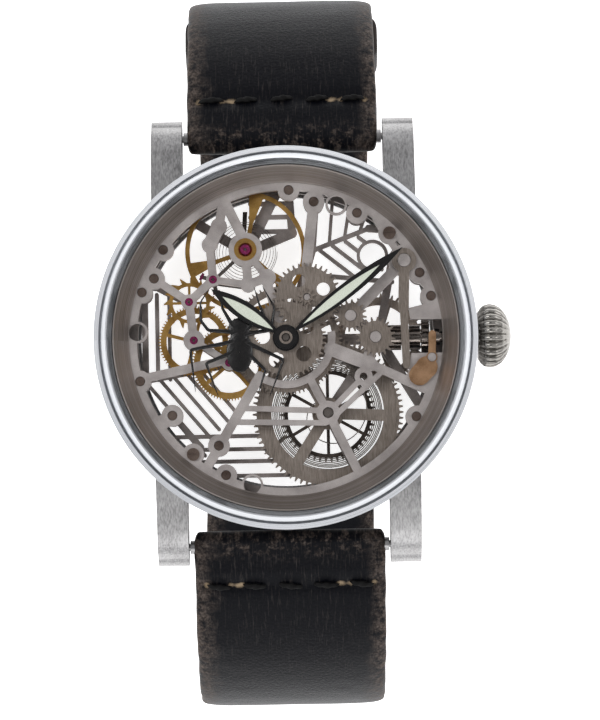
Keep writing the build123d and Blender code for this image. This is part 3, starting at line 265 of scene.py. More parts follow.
def brushed(name, light, dark, roughness, along=(1, 1, 1), ring=False, grain=0.08, depth=0.35):
    """Satin metal with scratches grain mm apart; along squeezes them on each axis."""
    material, shader = start_material(name, roughness, metallic=1.0)
    place = own_place(material)
    if ring:
        flat = stretch(material, place, (1, 1, 0))
        radius = node(material, "ShaderNodeVectorMath", {"operation": "LENGTH"}, i0=flat).outputs["Value"]
        x, y, z = node(material, "ShaderNodeSeparateXYZ", Vector=place).outputs
        turn = maths(material, "MULTIPLY", maths(material, "ARCTAN2", y, x), 2 * MM)
        place = node(material, "ShaderNodeCombineXYZ", X=radius, Y=turn, Z=z).outputs[0]
        along = RING_SQUEEZE
    scaled = stretch(material, place, [a / (grain * MM) for a in along])
    scratch = noise(material, scaled, 1.0, 3.0, Roughness=0.6)
    cloud = noise(material, place, 220.0, 2.0)
    tone = maths(material, "MULTIPLY_ADD", scratch, 0.7, maths(material, "MULTIPLY", cloud, 0.3))
    connect(material, ramp(material, tone, [(0.30, dark), (0.62, light)]), shader.inputs["Base Color"])
    rough = remap(material, scratch, roughness - 0.08, roughness + 0.12)
    connect(material, rough, shader.inputs["Roughness"])
    emboss(material, shader, scratch, depth)
    return material


case_steel = brushed("satin_316L_steel", "#B4B3B3", "#747373", 0.34, along=(1, 0.02, 1), grain=0.17)
bezel_steel = brushed("lathe_satin_steel", "#CDCFD2", "#A8AAAE", 0.27, ring=True)
flange_steel = brushed("brushed_flange_steel", "#B4ACA7", "#7D756E", 0.48, ring=True, grain=0.12)
# The crown is steel like the case but coloured darker; the darker colour is painted shade.
crown_steel = brushed(
    "polished_crown_steel_painted_shade", "#A09D98", "#6A6762", 0.20, along=(0.05, 1, 1), grain=0.2, depth=0.08
)
buckle_steel = brushed("satin_buckle_steel", "#CBCAC7", "#A09E9B", 0.36, along=(0.03, 1, 1))
wheel_steel = brushed("grained_wheel_steel", "#B4A89E", "#857A70", 0.36, along=(1, 0.1, 1), grain=0.10)
print("brushed metals made")

# %% [markdown]
# ** Frosted nickel silver** covers the plate and bridges: blasted with fine grit and then
# rhodium plated, it is pale, warm grey and almost matt. The bridges take a darker copy of it,
# which is painted shade. **Gilt brass** wheels were bright once and have turned brown in
# cloudy patches.

# %% Blasted and plated metals
def frosted(name, light, dark, roughness, grit=0.06, blotch=260.0):
    """Blasted metal: fine grit, grit mm wide, over clouds of oxide, blotch of them per metre."""
    material, shader = start_material(name, roughness, metallic=1.0)
    place = own_place(material)
    fine = noise(material, place, 1 / (grit * MM), 2.0)
    wide = noise(material, place, blotch, 4.0, Roughness=0.65)
    both = maths(material, "MULTIPLY_ADD", wide, 0.75, maths(material, "MULTIPLY", fine, 0.25))
    connect(material, ramp(material, both, [(0.36, dark), (0.60, light)]), shader.inputs["Base Color"])
    rough = remap(material, wide, roughness - 0.08, roughness + 0.1)
    connect(material, rough, shader.inputs["Roughness"])
    emboss(material, shader, fine, 0.3)
    return material


plate_nickel = frosted("frosted_nickel_silver", "#CBC4C1", "#AAA29F", 0.46)
# The bridges get a darker copy of the plate's nickel silver; the darker colour is painted shade.
bridge_nickel = frosted("nickel_silver_painted_shade", "#A79F9B", "#7C7470", 0.48)
gilt = frosted("gilt_brass", "#DDB066", "#A97E3F", 0.30, grit=0.09)
dark_screw = frosted("dark_screw_steel", "#8F7E74", "#5F4F47", 0.30)
pinion_steel = frosted("polished_pinion_steel", "#A49B94", "#6A615B", 0.22, grit=0.12)
spring_steel = frosted("tempered_spring_steel", "#A39A92", "#6F665F", 0.28)
blackened = frosted("blackened_steel", "#6A6059", "#433B36", 0.38)
lever_bronze = frosted("oxidised_bronze", "#C09A78", "#8E6C4E", 0.42, blotch=420.0)
print("plated metals made")

# %% [markdown]
# ## Ruby, lacquer, lume and glass
# Synthetic **ruby** bearings are deep pink and glassy. The hands are **black lacquer** on
# steel. **Luminous paint** is a chalky pale green, slightly grainy. The front crystal is
# **sapphire** and the back one **mineral glass**. They only show where they catch the light,
# so their shader is mostly see-through.

# %% Other finishes
def plain(name, light, dark, roughness, grain, bump=0.15, **sockets):
    """Non-metal with a soft two-tone noise of a given grain in millimetres."""
    material, shader = start_material(name, roughness)
    tone = noise(material, own_place(material), 1 / (grain * MM), 3.0)
    connect(material, ramp(material, tone, [(0.35, dark), (0.65, light)]), shader.inputs["Base Color"])
    emboss(material, shader, tone, bump)
    for key, value in sockets.items():
        socket_of(shader, key).default_value = value
    return material


ruby = plain("synthetic_ruby", "#8A2A5C", "#5A1838", 0.08, 0.3, bump=0.02)
black_lacquer = plain("black_lacquer", "#1A1717", "#0B0A0A", 0.28, 0.25, bump=0.05)
lume = plain("luminous_paint", "#E6EBDD", "#D6DDCB", 0.75, 0.12, bump=0.4)


def clear(name, tint, alpha):
    """Polished clear crystal, see-through apart from its highlights."""
    material, shader = start_material(name, 0.03)
    rough = remap(material, noise(material, own_place(material), 900.0, 2.0), 0.02, 0.06)
    connect(material, rough, shader.inputs["Roughness"])
    shader.inputs["Base Color"].default_value = linear(tint)
    shader.inputs["Alpha"].default_value = alpha
    return material


sapphire = clear("clear_sapphire", "#20262A", 0.04)
mineral = clear("clear_mineral_glass", "#20262A", 0.03)
print("ruby, lacquer, lume and glass made")

# %% [markdown]
# ## Dress the frame
# Every CAD node keeps its mesh and gets the material that its record slot names.

# %% Materials on the CAD nodes
finish_of = {
    "case_steel": case_steel, "bezel_steel": bezel_steel, "flange_steel": flange_steel,
    "plate_nickel": plate_nickel, "bridge_nickel": bridge_nickel, "screw_steel": dark_screw,
    "ruby": ruby, "gilt": gilt, "pinion_steel": pinion_steel, "wheel_steel": wheel_steel,
    "blackened": blackened, "spring_steel": spring_steel, "lume": lume,
    "black_lacquer": black_lacquer, "lever_bronze": lever_bronze, "buckle_steel": buckle_steel,
    "crown_steel": crown_steel, "crystal": sapphire, "back_crystal": mineral,
}
for part in frame["record"]["subparts"]:
    finish = finish_of.get(part["material_slot"])
    if finish:
        mesh_object = nodes[part["node"]]
        mesh_object.data.materials.clear()
        mesh_object.data.materials.append(finish)
print(len(finish_of), "finishes on the frame")

# %% [markdown]
# ## The leather strap
# A strap half is a long strip of vegetable-tanned leather, rolled round its spring bar and
# sewn shut below it. The strip could be modelled flat and bent with a modifier. Working it
# out along its own curved centre line is simpler to control: every point knows how far it is
# along the strap and across it, so wear, fibres and holes can be placed in real millimetres.

# %% Strap centre line
STRAP_HALF_WIDTH = box_mm("strap_12")[1][0]
HALF_THICKNESS = 1.3
ROLL_RADIUS = 1.75
BAR = np.array([22.7, 2.6])
SLOPE = np.radians(-20.0)
SHORT_LENGTH = 74.0
BAR_RUN = 3.0
SHOULDER = (21.8 * np.radians(70), -70.0)
SIDE_RUN = 10.0
FLOOR_RADIUS = 26.0
CURL_RADIUS = 14.0
LEAD = BAR_RUN + SHOULDER[0] + SIDE_RUN


def strap_line(runs, step=0.25):
    """Centre line (distance, u, z, heading) of runs (length, turn in degrees), each an arc.

    u is measured outward from the middle of the case: u = integral of cos(heading) along the
    line, and z = integral of sin(heading).
    """
    distance, bend = [0.0], []
    for length, turn in runs:
        pieces = max(int(round(length / step)), 1)
        distance += list(distance[-1] + length * np.arange(1, pieces + 1) / pieces)
        bend += [np.radians(turn) / pieces] * pieces
    distance, bend = np.array(distance), np.array(bend)
    heading = SLOPE + np.concatenate([[0], np.cumsum(bend)])
    middle, stride = (heading[1:] + heading[:-1]) / 2, np.diff(distance)
    u = BAR[0] + np.concatenate([[0], np.cumsum(stride * np.cos(middle))])
    z = BAR[1] + np.concatenate([[0], np.cumsum(stride * np.sin(middle))])
    return distance, u, z, heading


short_turn = np.degrees((SHORT_LENGTH - LEAD) / FLOOR_RADIUS)
upper_runs = [(BAR_RUN, 0), SHOULDER, (SIDE_RUN, 0)]
short_runs = upper_runs + [(SHORT_LENGTH - LEAD, -short_turn)]
long_runs = upper_runs + [(FLOOR_RADIUS * np.pi / 2, -90), (5.0, 0), (CURL_RADIUS * np.pi / 2, -90)]
print("strap half with the buckle:", SHORT_LENGTH, "mm, its turn on the floor:", round(short_turn, 1))


# %% [markdown]
# The cross-section is a flat oval: two nearly flat faces with edges rounded by burnishing.
# `strap_half` sweeps it, swells it into the roll at the bar, presses the stitch line in and
# sinks a little crater at every stitch hole. A slow noise keeps the edges from being ruler
# straight, as hand-cut leather never is.

# %% Strap halves
STITCHES = 5
STITCH_LINE = 4.2
STITCH_PITCH = 3.95
STITCH_LENGTH = 2.75
SWELL_REACH = 3.6
EDGE_INSET = 0.12
THINNEST = 0.03
TIP_HALF_WIDTH = 4.5


def slow_noise(x, y, seed, waves=7):
    """Smooth pseudo-random height from a few crossing sine waves, between about -1 and 1."""
    wave_rng = np.random.default_rng(seed)
    total = np.zeros(np.broadcast(x, y).shape)
    spans = (0, np.pi), (2.5, 9), (0, 6)
    turns, pitches, shifts = (wave_rng.uniform(low, high, waves) for low, high in spans)
    for turn, pitch, shift in zip(turns, pitches, shifts):
        total += np.sin((x * np.cos(turn) + y * np.sin(turn)) * 2 * np.pi / pitch + shift)
    return total / waves


def float_attribute(mesh, name, values):
    """Stores one number per point for the materials to read."""
    mesh.attributes.new(name, "FLOAT", "POINT").data.foreach_set("value", np.ravel(values))


def hole_places():
    """Distance across of the stitch holes, two for each stitch."""
    centres = (np.arange(STITCHES) - (STITCHES - 1) / 2) * STITCH_PITCH
    return np.sort(np.concatenate([centres - STITCH_LENGTH / 2, centres + STITCH_LENGTH / 2]))


def rolled_thickness(distance):
    """Half thickness of a round roll, sqrt(R ** 2 - distance ** 2), and never quite nothing."""
    return np.sqrt(np.maximum(ROLL_RADIUS ** 2 - distance ** 2, THINNEST ** 2))


def strap_section(distance, total, pointed):
    """Half thickness and half width along a strap half, from distances along its centre line."""
    end = total - distance
    rolled, past = distance < 0, end < 0
    swell = np.clip(1 - distance / SWELL_REACH, 0, 1)
    if not pointed:
        swell = np.maximum(swell, np.clip(1 - end / SWELL_REACH, 0, 1))
    thick = np.full(len(distance), HALF_THICKNESS)
    thick += (ROLL_RADIUS - HALF_THICKNESS) * swell ** 0.8 * (distance >= 0)
    thick[rolled] = rolled_thickness(distance[rolled])
    thick -= 0.20 * np.exp(-((distance - STITCH_LINE) / 0.9) ** 2)
    thick[past] = rolled_thickness(end[past])
    width = np.full(len(distance), STRAP_HALF_WIDTH - EDGE_INSET)
    width[rolled] -= 0.5 * (-distance[rolled] / ROLL_RADIUS) ** 3
    if pointed:
        point = (STRAP_HALF_WIDTH - 0.1 - TIP_HALF_WIDTH) * np.sqrt(np.clip(end / 6.0, 0, 1))
        width = np.minimum(width, TIP_HALF_WIDTH + point)
        thick = np.minimum(thick, 0.15 + HALF_THICKNESS * np.sqrt(np.clip(end / 1.2, 0, 1)))
    return thick, width


def strap_half(name, node_name, side, runs, pointed, seed, material):
    """Sweeps the section: y = side * (u - lift sin(heading)), z = z + lift cos(heading)."""
    distance, u, z, heading = strap_line(runs)
    total = distance[-1]
    quarter = np.linspace(0, np.pi / 2, 14)
    roll = -ROLL_RADIUS * np.cos(quarter[:-1])
    tip = np.array([]) if pointed else ROLL_RADIUS * np.sin(quarter[1:])
    distance = np.concatenate([roll, distance, total + tip])
    u = np.concatenate([BAR[0] + roll * np.cos(SLOPE), u, u[-1] + tip * np.cos(heading[-1])])
    z = np.concatenate([BAR[1] + roll * np.sin(SLOPE), z, z[-1] + tip * np.sin(heading[-1])])
    heading = np.concatenate([np.full(len(roll), SLOPE), heading, np.full(len(tip), heading[-1])])
    thick, width = strap_section(distance, total, pointed)

    around = full_turn(112)
    flat_x, flat_t = boxy(np.cos(around), 0.30), boxy(np.sin(around), 0.42)
    x = width[:, None] * flat_x[None, :]
    lift = thick[:, None] * flat_t[None, :]
    x = x + 0.10 * slow_noise(distance[:, None], np.sign(x) * 30, seed) * np.abs(flat_x)[None, :] ** 4
    along = np.broadcast_to(distance[:, None], x.shape)
    upper = np.clip(flat_t, 0, 1)[None, :]
    ripple = slow_noise(along, x, seed + 1) * 0.035 + slow_noise(along * 3, x * 1.4, seed + 2) * 0.015
    lift = lift + ripple * upper - 0.05 * upper
    gap = np.min(np.abs(x[..., None] - hole_places()), axis=-1)
    hole = np.exp(-((gap / 0.42) ** 2 + ((along - STITCH_LINE) / 0.36) ** 2)) * (upper > 0.3)
    lift = lift - 0.42 * hole

    sin_h, cos_h = np.sin(heading)[:, None], np.cos(heading)[:, None]
    points = np.stack([x, side * (u[:, None] - lift * sin_h), z[:, None] + lift * cos_h], -1)
    rows, columns = x.shape
    faces = grid_faces(rows, columns, close_columns=True)
    if side > 0:
        faces = faces[:, ::-1]
    first, last = np.arange(columns), (rows - 1) * columns + np.arange(columns)
    caps = [list(first if side > 0 else first[::-1]), list(last[::-1] if side > 0 else last)]
    faces = list(faces) + caps
    piece = make_mesh(name, points, faces, material, node_name, [node_name])
    readings = {"across": x, "along": along, "upper": upper, "hole": hole, "half_width": width[:, None]}
    for key, values in readings.items():
        float_attribute(piece.data, key, np.broadcast_to(values, x.shape))
    return piece


# %% [markdown]
# **Old black leather.** Dye sits in the surface only, so wherever it rubs the brown hide
# shows: along both edges, on the roll at the bar and around the stitch holes. Long fibres, a
# little paler than the dye, run along the strap.

# %% Leather
def attribute(material, name):
    """Reads a number that the mesh stores at each of its points."""
    return node(material, "ShaderNodeAttribute", {"attribute_name": name}).outputs["Fac"]


def mix(material, factor, first, second):
    """Blends two colours by a factor."""
    made = node(material, "ShaderNodeMix", {"data_type": "RGBA"}, i0=factor)
    for index, colour in ((6, first), (7, second)):
        if isinstance(colour, bpy.types.NodeSocket):
            connect(material, colour, made.inputs[index])
        else:
            made.inputs[index].default_value = linear(colour)
    return made.outputs[2]


def mask(material, factor, low, high):
    """Black below low, white above high."""
    return ramp(material, factor, [(low, "#000000"), (high, "#FFFFFF")])


def make_leather(name):
    """Black dyed leather over brown hide, laid out by the attributes across and along, in mm."""
    material, shader = start_material(name, 0.42)
    keys = "across", "along", "upper", "hole", "half_width"
    across, along, upper, hole, half_width = (attribute(material, key) for key in keys)
    flat = node(material, "ShaderNodeCombineXYZ", X=across, Y=along, Z=upper).outputs[0]

    grain = noise(material, flat, 3.2, 6.0, Roughness=0.62)
    pores = node(material, "ShaderNodeTexVoronoi", Vector=flat, Scale=2.6).outputs["Distance"]
    fibre = noise(material, stretch(material, flat, (5.0, 0.42, 1.0)), 1.0, 5.0, Roughness=0.7)
    patch = noise(material, flat, 0.32, 3.0)
    scuff = noise(material, flat, 1.1, 7.0, Roughness=0.75)

    dye = ramp(material, grain, [(0.35, "#020308"), (0.70, "#08090F")])
    fibre_mask = maths(material, "MULTIPLY", mask(material, fibre, 0.54, 0.72), patch)
    near_bar = remap(material, along, 0.20, 1.0, start=18.0, end=3.0)
    fibres = maths(material, "MULTIPLY", fibre_mask, near_bar, clamp=True)
    colour = mix(material, fibres, dye, "#4C4744")

    rim = maths(material, "SUBTRACT", half_width, maths(material, "ABSOLUTE", across))
    reach = maths(material, "MULTIPLY_ADD", patch, 4.6, 0.1)
    edge = remap(material, rim, 0.0, 1.0, start=reach, end=0.15)
    edge_wear = maths(material, "MULTIPLY", edge, mask(material, scuff, 0.40, 0.60), clamp=True)
    roll = remap(material, along, 0.0, 1.0, start=1.6, end=-1.2)
    roll_wear = maths(material, "MULTIPLY", roll, mask(material, scuff, 0.50, 0.66), clamp=True)
    wear = maths(material, "MAXIMUM", edge_wear, roll_wear)
    hide = ramp(material, grain, [(0.35, "#3A302A"), (0.65, "#7A6E66")])
    colour = mix(material, maths(material, "MULTIPLY", wear, 0.8), colour, hide)
    torn = mask(material, maths(material, "MULTIPLY", hole, scuff), 0.18, 0.40)
    colour = mix(material, torn, colour, "#A08D74")
    connect(material, colour, shader.inputs["Base Color"])

    rough = maths(material, "MULTIPLY_ADD", wear, 0.25, remap(material, grain, 0.34, 0.55))
    connect(material, rough, shader.inputs["Roughness"])
    for key, value in (("Specular IOR Level", 0.10), ("Sheen Weight", 0.01), ("Sheen Roughness", 0.45)):
        shader.inputs[key].default_value = value
    relief = maths(material, "MULTIPLY_ADD", fibre, 0.6, maths(material, "MULTIPLY_ADD", pores, 0.5, grain))
    emboss(material, shader, relief, 0.55, depth_mm=0.10)
    return material


leather = make_leather("waxed_black_leather")
strap_12 = strap_half("leather_strap_12", "strap_12", 1, short_runs, False, 3, leather)
strap_6 = strap_half("leather_strap_6", "strap_6", -1, long_runs, True, 8, leather)

# %% [markdown]
# The leather is punched before it is sewn: a long slot lets the tongue through at the buckle,
# and six round holes take its tip. Both are cut with punches: solid prisms that a boolean
# takes out of the strip, after which the modifier is applied and the punches are thrown away.

# %% Slot and holes
SLOT_HALF_WIDTH = 1.45
SLOT_INWARD, SLOT_OUTWARD = 4.4, 5.6
HOLE_RADIUS, HOLE_PITCH, HOLES = 0.9, 6.5, 6
FIRST_HOLE = np.radians(25)
PUNCH_REACH = 3.0
X_AXIS, Y_AXIS = np.array([1.0, 0, 0]), np.array([0, 1.0, 0])


def strap_floor_centre():
    """Middle (y, z) of the arc that carries the strap round to the floor."""
    distance, u, z, heading = strap_line(short_runs)
    return np.interp(LEAD, distance, u) - FLOOR_RADIUS, np.interp(LEAD, distance, z)


def prism(outline, middle, first_axis, second_axis, first):
    """Points and faces of a punch: middle + a * first_axis + b * second_axis, lifted both ways."""
    lift = PUNCH_REACH * np.cross(first_axis, second_axis)
    flat = middle + outline[:, :1] * first_axis + outline[:, 1:] * second_axis
    n = len(outline)
    walls = grid_faces(2, n, close_columns=True, first=first).tolist()
    lids = [list(first + np.arange(n)[::-1]), list(first + n + np.arange(n))]
    return np.concatenate([flat - lift, flat + lift]), walls + lids


def punch(piece, punches):
    """Takes the punches out of a piece and applies the cut; the walls get the piece's material."""
    points, faces = [], []
    for outline, middle, first_axis, second_axis in punches:
        more, walls = prism(outline, middle, first_axis, second_axis, sum(map(len, points)))
        points.append(more)
        faces += walls
    mesh = bpy.data.meshes.new("punch")
    mesh.from_pydata((np.concatenate(points) * MM).tolist(), [], faces)
    mesh.materials.append(piece.data.materials[0])
    tool = bpy.data.objects.new("punch", mesh)
    bpy.context.collection.objects.link(tool)
    cut = piece.modifiers.new("punch", "BOOLEAN")
    cut.operation, cut.solver, cut.object = "DIFFERENCE", "MANIFOLD", tool
    graph = bpy.context.evaluated_depsgraph_get()
    piece.data = bpy.data.meshes.new_from_object(piece.evaluated_get(graph))
    piece.modifiers.clear()
    bpy.data.objects.remove(tool)
    print(f"{piece.name}: {len(punches)} punched, {len(piece.data.polygons)} faces")


arc_y, arc_z = strap_floor_centre()
end_angle = np.radians(short_turn)
buckle_place = np.array([
    0, arc_y + FLOOR_RADIUS * np.cos(end_angle), arc_z - FLOOR_RADIUS * np.sin(end_angle),
])
half_turn = np.linspace(0, np.pi, 13)
rounded_end = np.stack([
    SLOT_HALF_WIDTH * np.cos(half_turn),
    SLOT_OUTWARD - SLOT_HALF_WIDTH + SLOT_HALF_WIDTH * np.sin(half_turn),
], -1)
square_end = [[-SLOT_HALF_WIDTH, -SLOT_INWARD], [SLOT_HALF_WIDTH, -SLOT_INWARD]]
punch(strap_12, [(np.concatenate([rounded_end, square_end]), buckle_place, X_AXIS, Y_AXIS)])

circle = full_turn(12)
round_hole = HOLE_RADIUS * np.stack([np.cos(circle), np.sin(circle)], -1)
holes = []
for angle in FIRST_HOLE + np.arange(HOLES) * HOLE_PITCH / FLOOR_RADIUS:
    outward = np.array([0, -np.cos(angle), -np.sin(angle)])
    place = np.array([0, -arc_y, arc_z]) + FLOOR_RADIUS * outward
    holes.append((round_hole, place, X_AXIS, np.cross(outward, X_AXIS)))
punch(strap_6, holes)

# %% [markdown]
# **Stitches** are waxed linen thread. Each visible stitch is a short spindle whose ends dive
# into its two holes, with two plies twisted round each other.

# %% Stitches
THREAD_RADIUS = 0.34
STITCH_LEAN = np.radians(6.0)
STITCH_ROWS, STITCH_COLUMNS = 49, 20


def stitch_row(name, node_name, side, material):
    """Sweeps a spindle of radius THREAD_RADIUS (1 - t ** 2) ** 0.6 for t from -1 to 1, per stitch."""
    distance, u, z, heading = strap_line(short_runs)
    bar_u, bar_z, turn = (np.interp(STITCH_LINE, distance, values) for values in (u, z, heading))
    t = np.linspace(-1, 1, STITCH_ROWS)[:, None]
    around = full_turn(STITCH_COLUMNS)[None, :]
    plies = 1 + 0.13 * np.cos(2 * around - 9 * t)
    body = THREAD_RADIUS * np.clip(1 - t ** 2, 0.02, 1) ** 0.6 * plies
    points, faces = [], []
    for index in range(STITCHES):
        centre = (index - (STITCHES - 1) / 2) * STITCH_PITCH
        jitter = rng.uniform(-1, 1, 3)
        tilt = STITCH_LEAN + np.radians(3) * jitter[0]
        reach = STITCH_LENGTH / 2 * (1.04 + 0.05 * jitter[1]) * t + 0 * around
        s = body * np.cos(around)
        rise = HALF_THICKNESS - 0.16 + 0.75 * body * np.sin(around) + 0.14 * (1 - t ** 2) - 0.45 * t ** 8
        x = centre + reach * np.cos(tilt) - s * np.sin(tilt)
        v = reach * np.sin(tilt) + s * np.cos(tilt) + 0.08 * jitter[2]
        y = side * (bar_u + v * np.cos(turn) - rise * np.sin(turn))
        z = bar_z + v * np.sin(turn) + rise * np.cos(turn)
        points.append(np.stack([x, y, z], -1).reshape(-1, 3))
        start = index * STITCH_ROWS * STITCH_COLUMNS
        quads = grid_faces(STITCH_ROWS, STITCH_COLUMNS, close_columns=True, first=start)
        faces += list(quads[:, ::-1] if side < 0 else quads)
    return make_mesh(name, np.concatenate(points), faces, material, node_name)


thread = plain("waxed_linen_thread", "#0B0A0B", "#040404", 0.6, 0.12, bump=0.5, Specular_IOR_Level=0.15)
stitch_row("stitches_12", "strap_12", 1, thread)
stitch_row("stitches_6", "strap_6", -1, thread)

# %% [markdown]
# ## Keepers
# The two keepers are bands of the same leather, closed into loops. The band's rounded
# section is swept round a rounded rectangle.

# %% Keepers
KEEPER_WALL, KEEPER_LENGTH = 1.0, 5.0
KEEPER_WIDTH = 2 * STRAP_HALF_WIDTH + 0.3
KEEPER_HEIGHT = 1.8 * 2 * HALF_THICKNESS + 0.3
KEEPER_POWER = 2 / 7
EASE = 0.03
LOOP_POINTS, SECTION_POINTS = 160, 28


def keeper(name, along, body, material):
    """A loop of leather round both straps, square to the strap at a distance along it.

    r and s are measured from the middle of the floor arc: y = r cos(turn) + s sin(turn) and
    z = -r sin(turn) + s cos(turn).
    """
    turn = (along - LEAD) / FLOOR_RADIUS
    centre_y, centre_z = strap_floor_centre()
    middle = FLOOR_RADIUS - HALF_THICKNESS - 0.15 + KEEPER_HEIGHT / 2
    a, b = full_turn(LOOP_POINTS), full_turn(SECTION_POINTS)
    loop_x = (KEEPER_WIDTH + KEEPER_WALL) / 2 * boxy(np.cos(a), KEEPER_POWER)
    loop_y = (KEEPER_HEIGHT + KEEPER_WALL) / 2 * boxy(np.sin(a), KEEPER_POWER)
    tangent = np.stack([np.roll(line, -1) - np.roll(line, 1) for line in (loop_x, loop_y)], -1)
    tangent /= np.linalg.norm(tangent, axis=1, keepdims=True)
    normal = np.stack([tangent[:, 1], -tangent[:, 0]], -1)
    out = (KEEPER_WALL / 2 - EASE) * boxy(np.cos(b), 0.5)
    run = (KEEPER_LENGTH / 2 - EASE) * boxy(np.sin(b), 0.25)
    x = loop_x[:, None] + normal[:, :1] * out
    r = middle + loop_y[:, None] + normal[:, 1:] * out
    s = np.broadcast_to(run, x.shape)
    y = centre_y + r * np.cos(turn) + s * np.sin(turn)
    z = centre_z - r * np.sin(turn) + s * np.cos(turn)
    faces = grid_faces(LOOP_POINTS, SECTION_POINTS, close_rows=True, close_columns=True)
    piece = make_mesh(f"leather_{name}", np.stack([x, y, z], -1), faces, material, body, [name])
    upper = np.clip(out / KEEPER_WALL + 0.5, 0, 1)
    readings = {"across": x, "along": s + 30, "hole": 0, "half_width": 13, "upper": upper}
    for key, values in readings.items():
        float_attribute(piece.data, key, np.broadcast_to(values, x.shape))


keeper("keeper_fixed", 62.0, "strap_12", leather)
keeper("keeper_free", 50.0, "keeper_free", leather)

# %% [markdown]
# ## The crown
# An onion crown is turned to a bulging profile and then fluted with a form cutter, which
# leaves round ribs that bow with the bulge and fade into a smooth end cap.

# %% Crown
CROWN_RIBS, POINTS_PER_RIB, CROWN_ROWS = 24, 12, 90
RIB_DEPTH = 0.16
BULGE = [
    (0.0, 0.70), (0.06, 0.84), (0.18, 0.95), (0.34, 1.0), (0.52, 0.97),
    (0.70, 0.86), (0.84, 0.66), (0.93, 0.46), (0.98, 0.24), (1.0, 0.02),
]


def smooth(line, window):
    """Average of neighbouring values under a Hanning window of an odd number of them."""
    kernel = np.hanning(window) / np.hanning(window).sum()
    return np.convolve(np.pad(line, window // 2, mode="edge"), kernel, mode="valid")


crown_low, crown_high = box_mm("crown")
crown_axis_z = (crown_low[2] + crown_high[2]) / 2
crown_radius = (crown_high[2] - crown_low[2]) / 2
spacing = np.sin(np.linspace(0, 1, CROWN_ROWS)[:, None] * np.pi / 2) ** 0.9
angle = full_turn(CROWN_RIBS * POINTS_PER_RIB)[None, :]
profile = smooth(crown_radius * np.interp(spacing, *zip(*BULGE))[:, 0], 9)[:, None]
profile *= crown_radius / profile.max()
profile[-1] = 0.02
rib = np.abs(((angle * CROWN_RIBS / (2 * np.pi)) % 1) * 2 - 1)
lobe = 1 - np.sqrt(np.clip(1 - rib ** 2, 0, 1))
fade = np.clip((0.93 - spacing) / 0.15, 0, 1) * np.clip(spacing / 0.05, 0, 1)
radius = profile * (1 - RIB_DEPTH * lobe * fade)
crown_points = np.stack([
    crown_low[0] + (crown_high[0] - crown_low[0]) * spacing + 0 * angle,
    radius * np.cos(angle), crown_axis_z + radius * np.sin(angle),
], -1)
ring_size = CROWN_RIBS * POINTS_PER_RIB
crown_faces = list(grid_faces(CROWN_ROWS, ring_size, close_columns=True)[:, ::-1])
ring = np.arange(ring_size)
crown_faces += [list(ring), list(((CROWN_ROWS - 1) * ring_size + ring)[::-1])]
make_mesh("onion_crown", crown_points, crown_faces, crown_steel, "crown_and_stem", ["crown"])

# %% [markdown]
# ## The spider
# The ornament is a plain black spider of filed steel. Its body is three flattened eggs that
# run into one another, and its legs are wires that taper to points: each leg's bends are
# softened by averaging neighbouring points, then a shrinking oval is swept along it.

# %% Spider
SPIDER_LEGS = [
    [(-6.0, 0.8), (-8.5, 1.0), (-9.3, 2.1), (-9.3, 4.1), (-8.3, 5.6)],
    [(-6.0, 1.8), (-6.9, 3.4), (-7.1, 4.6), (-7.6, 5.5)],
    [(-3.9, 1.4), (-2.3, 2.3), (-2.9, 3.9), (-3.4, 5.7)],
    [(-3.9, 0.6), (-1.6, 0.9), (-1.2, 3.4), (-2.5, 5.8)],
    [(-6.3, -0.4), (-10.5, -1.1), (-10.0, -5.8)],
    [(-6.2, -1.6), (-8.8, -2.6), (-7.5, -6.3)],
    [(-3.9, -0.6), (-0.3, -2.4), (-1.9, -6.4)],
    [(-4.2, -1.6), (-2.3, -3.5), (-3.2, -6.2)],
]
SPIDER_BODY = [((-5.1, -1.45), (1.45, 2.25)), ((-5.1, 1.15), (1.2, 1.15)), ((-5.1, 0.25), (0.95, 1.0))]
BODY_X = -5.1
POST_PLACE, POST_RADIUS = (-5.8, -2.04), 0.45
LEG_ROWS, LEG_COLUMNS = 90, 16
BODY_ROWS, BODY_COLUMNS = 40, 64
POST_COLUMNS = 32
spider_low, spider_high = box_mm("spider")
SPIDER_Z = spider_high[2] - 0.19


def spider_leg(leg):
    """A wire along a bent line, of radius 0.24 (1 - t) ** 0.75 + 0.02, at most 0.17 in height."""
    corners = np.array([(BODY_X + 0.5 * (leg[0][0] - BODY_X), leg[0][1] * 0.6)] + leg)
    reach = np.concatenate([[0], np.cumsum(np.linalg.norm(np.diff(corners, axis=0), axis=1))])
    t = np.linspace(0, reach[-1], LEG_ROWS)
    line = np.stack([smooth(np.interp(t, reach, corners[:, axis]), 11) for axis in (0, 1)], -1)
    heading = np.gradient(line, axis=0)
    heading /= np.linalg.norm(heading, axis=1, keepdims=True)
    girth = 0.24 * (1 - t / t[-1]) ** 0.75 + 0.02
    ring = full_turn(LEG_COLUMNS)
    side = girth[:, None] * np.cos(ring)
    rise = np.minimum(girth, 0.17)[:, None] * np.sin(ring)
    x, y = line[:, :1] - heading[:, 1:] * side, line[:, 1:] + heading[:, :1] * side
    return np.stack([x, y, SPIDER_Z + rise], -1).reshape(-1, 3)


def spider_egg(centre, half):
    """A flat ellipsoid about a point of the plane."""
    polar = np.linspace(0.02, np.pi - 0.02, BODY_ROWS)[:, None]
    turn = full_turn(BODY_COLUMNS)[None, :]
    x = centre[0] + half[0] * np.sin(polar) * np.cos(turn)
    y = centre[1] + half[1] * np.sin(polar) * np.sin(turn)
    z = SPIDER_Z + 0.18 * np.cos(polar) + 0 * turn
    return np.stack([x, y, z], -1).reshape(-1, 3)


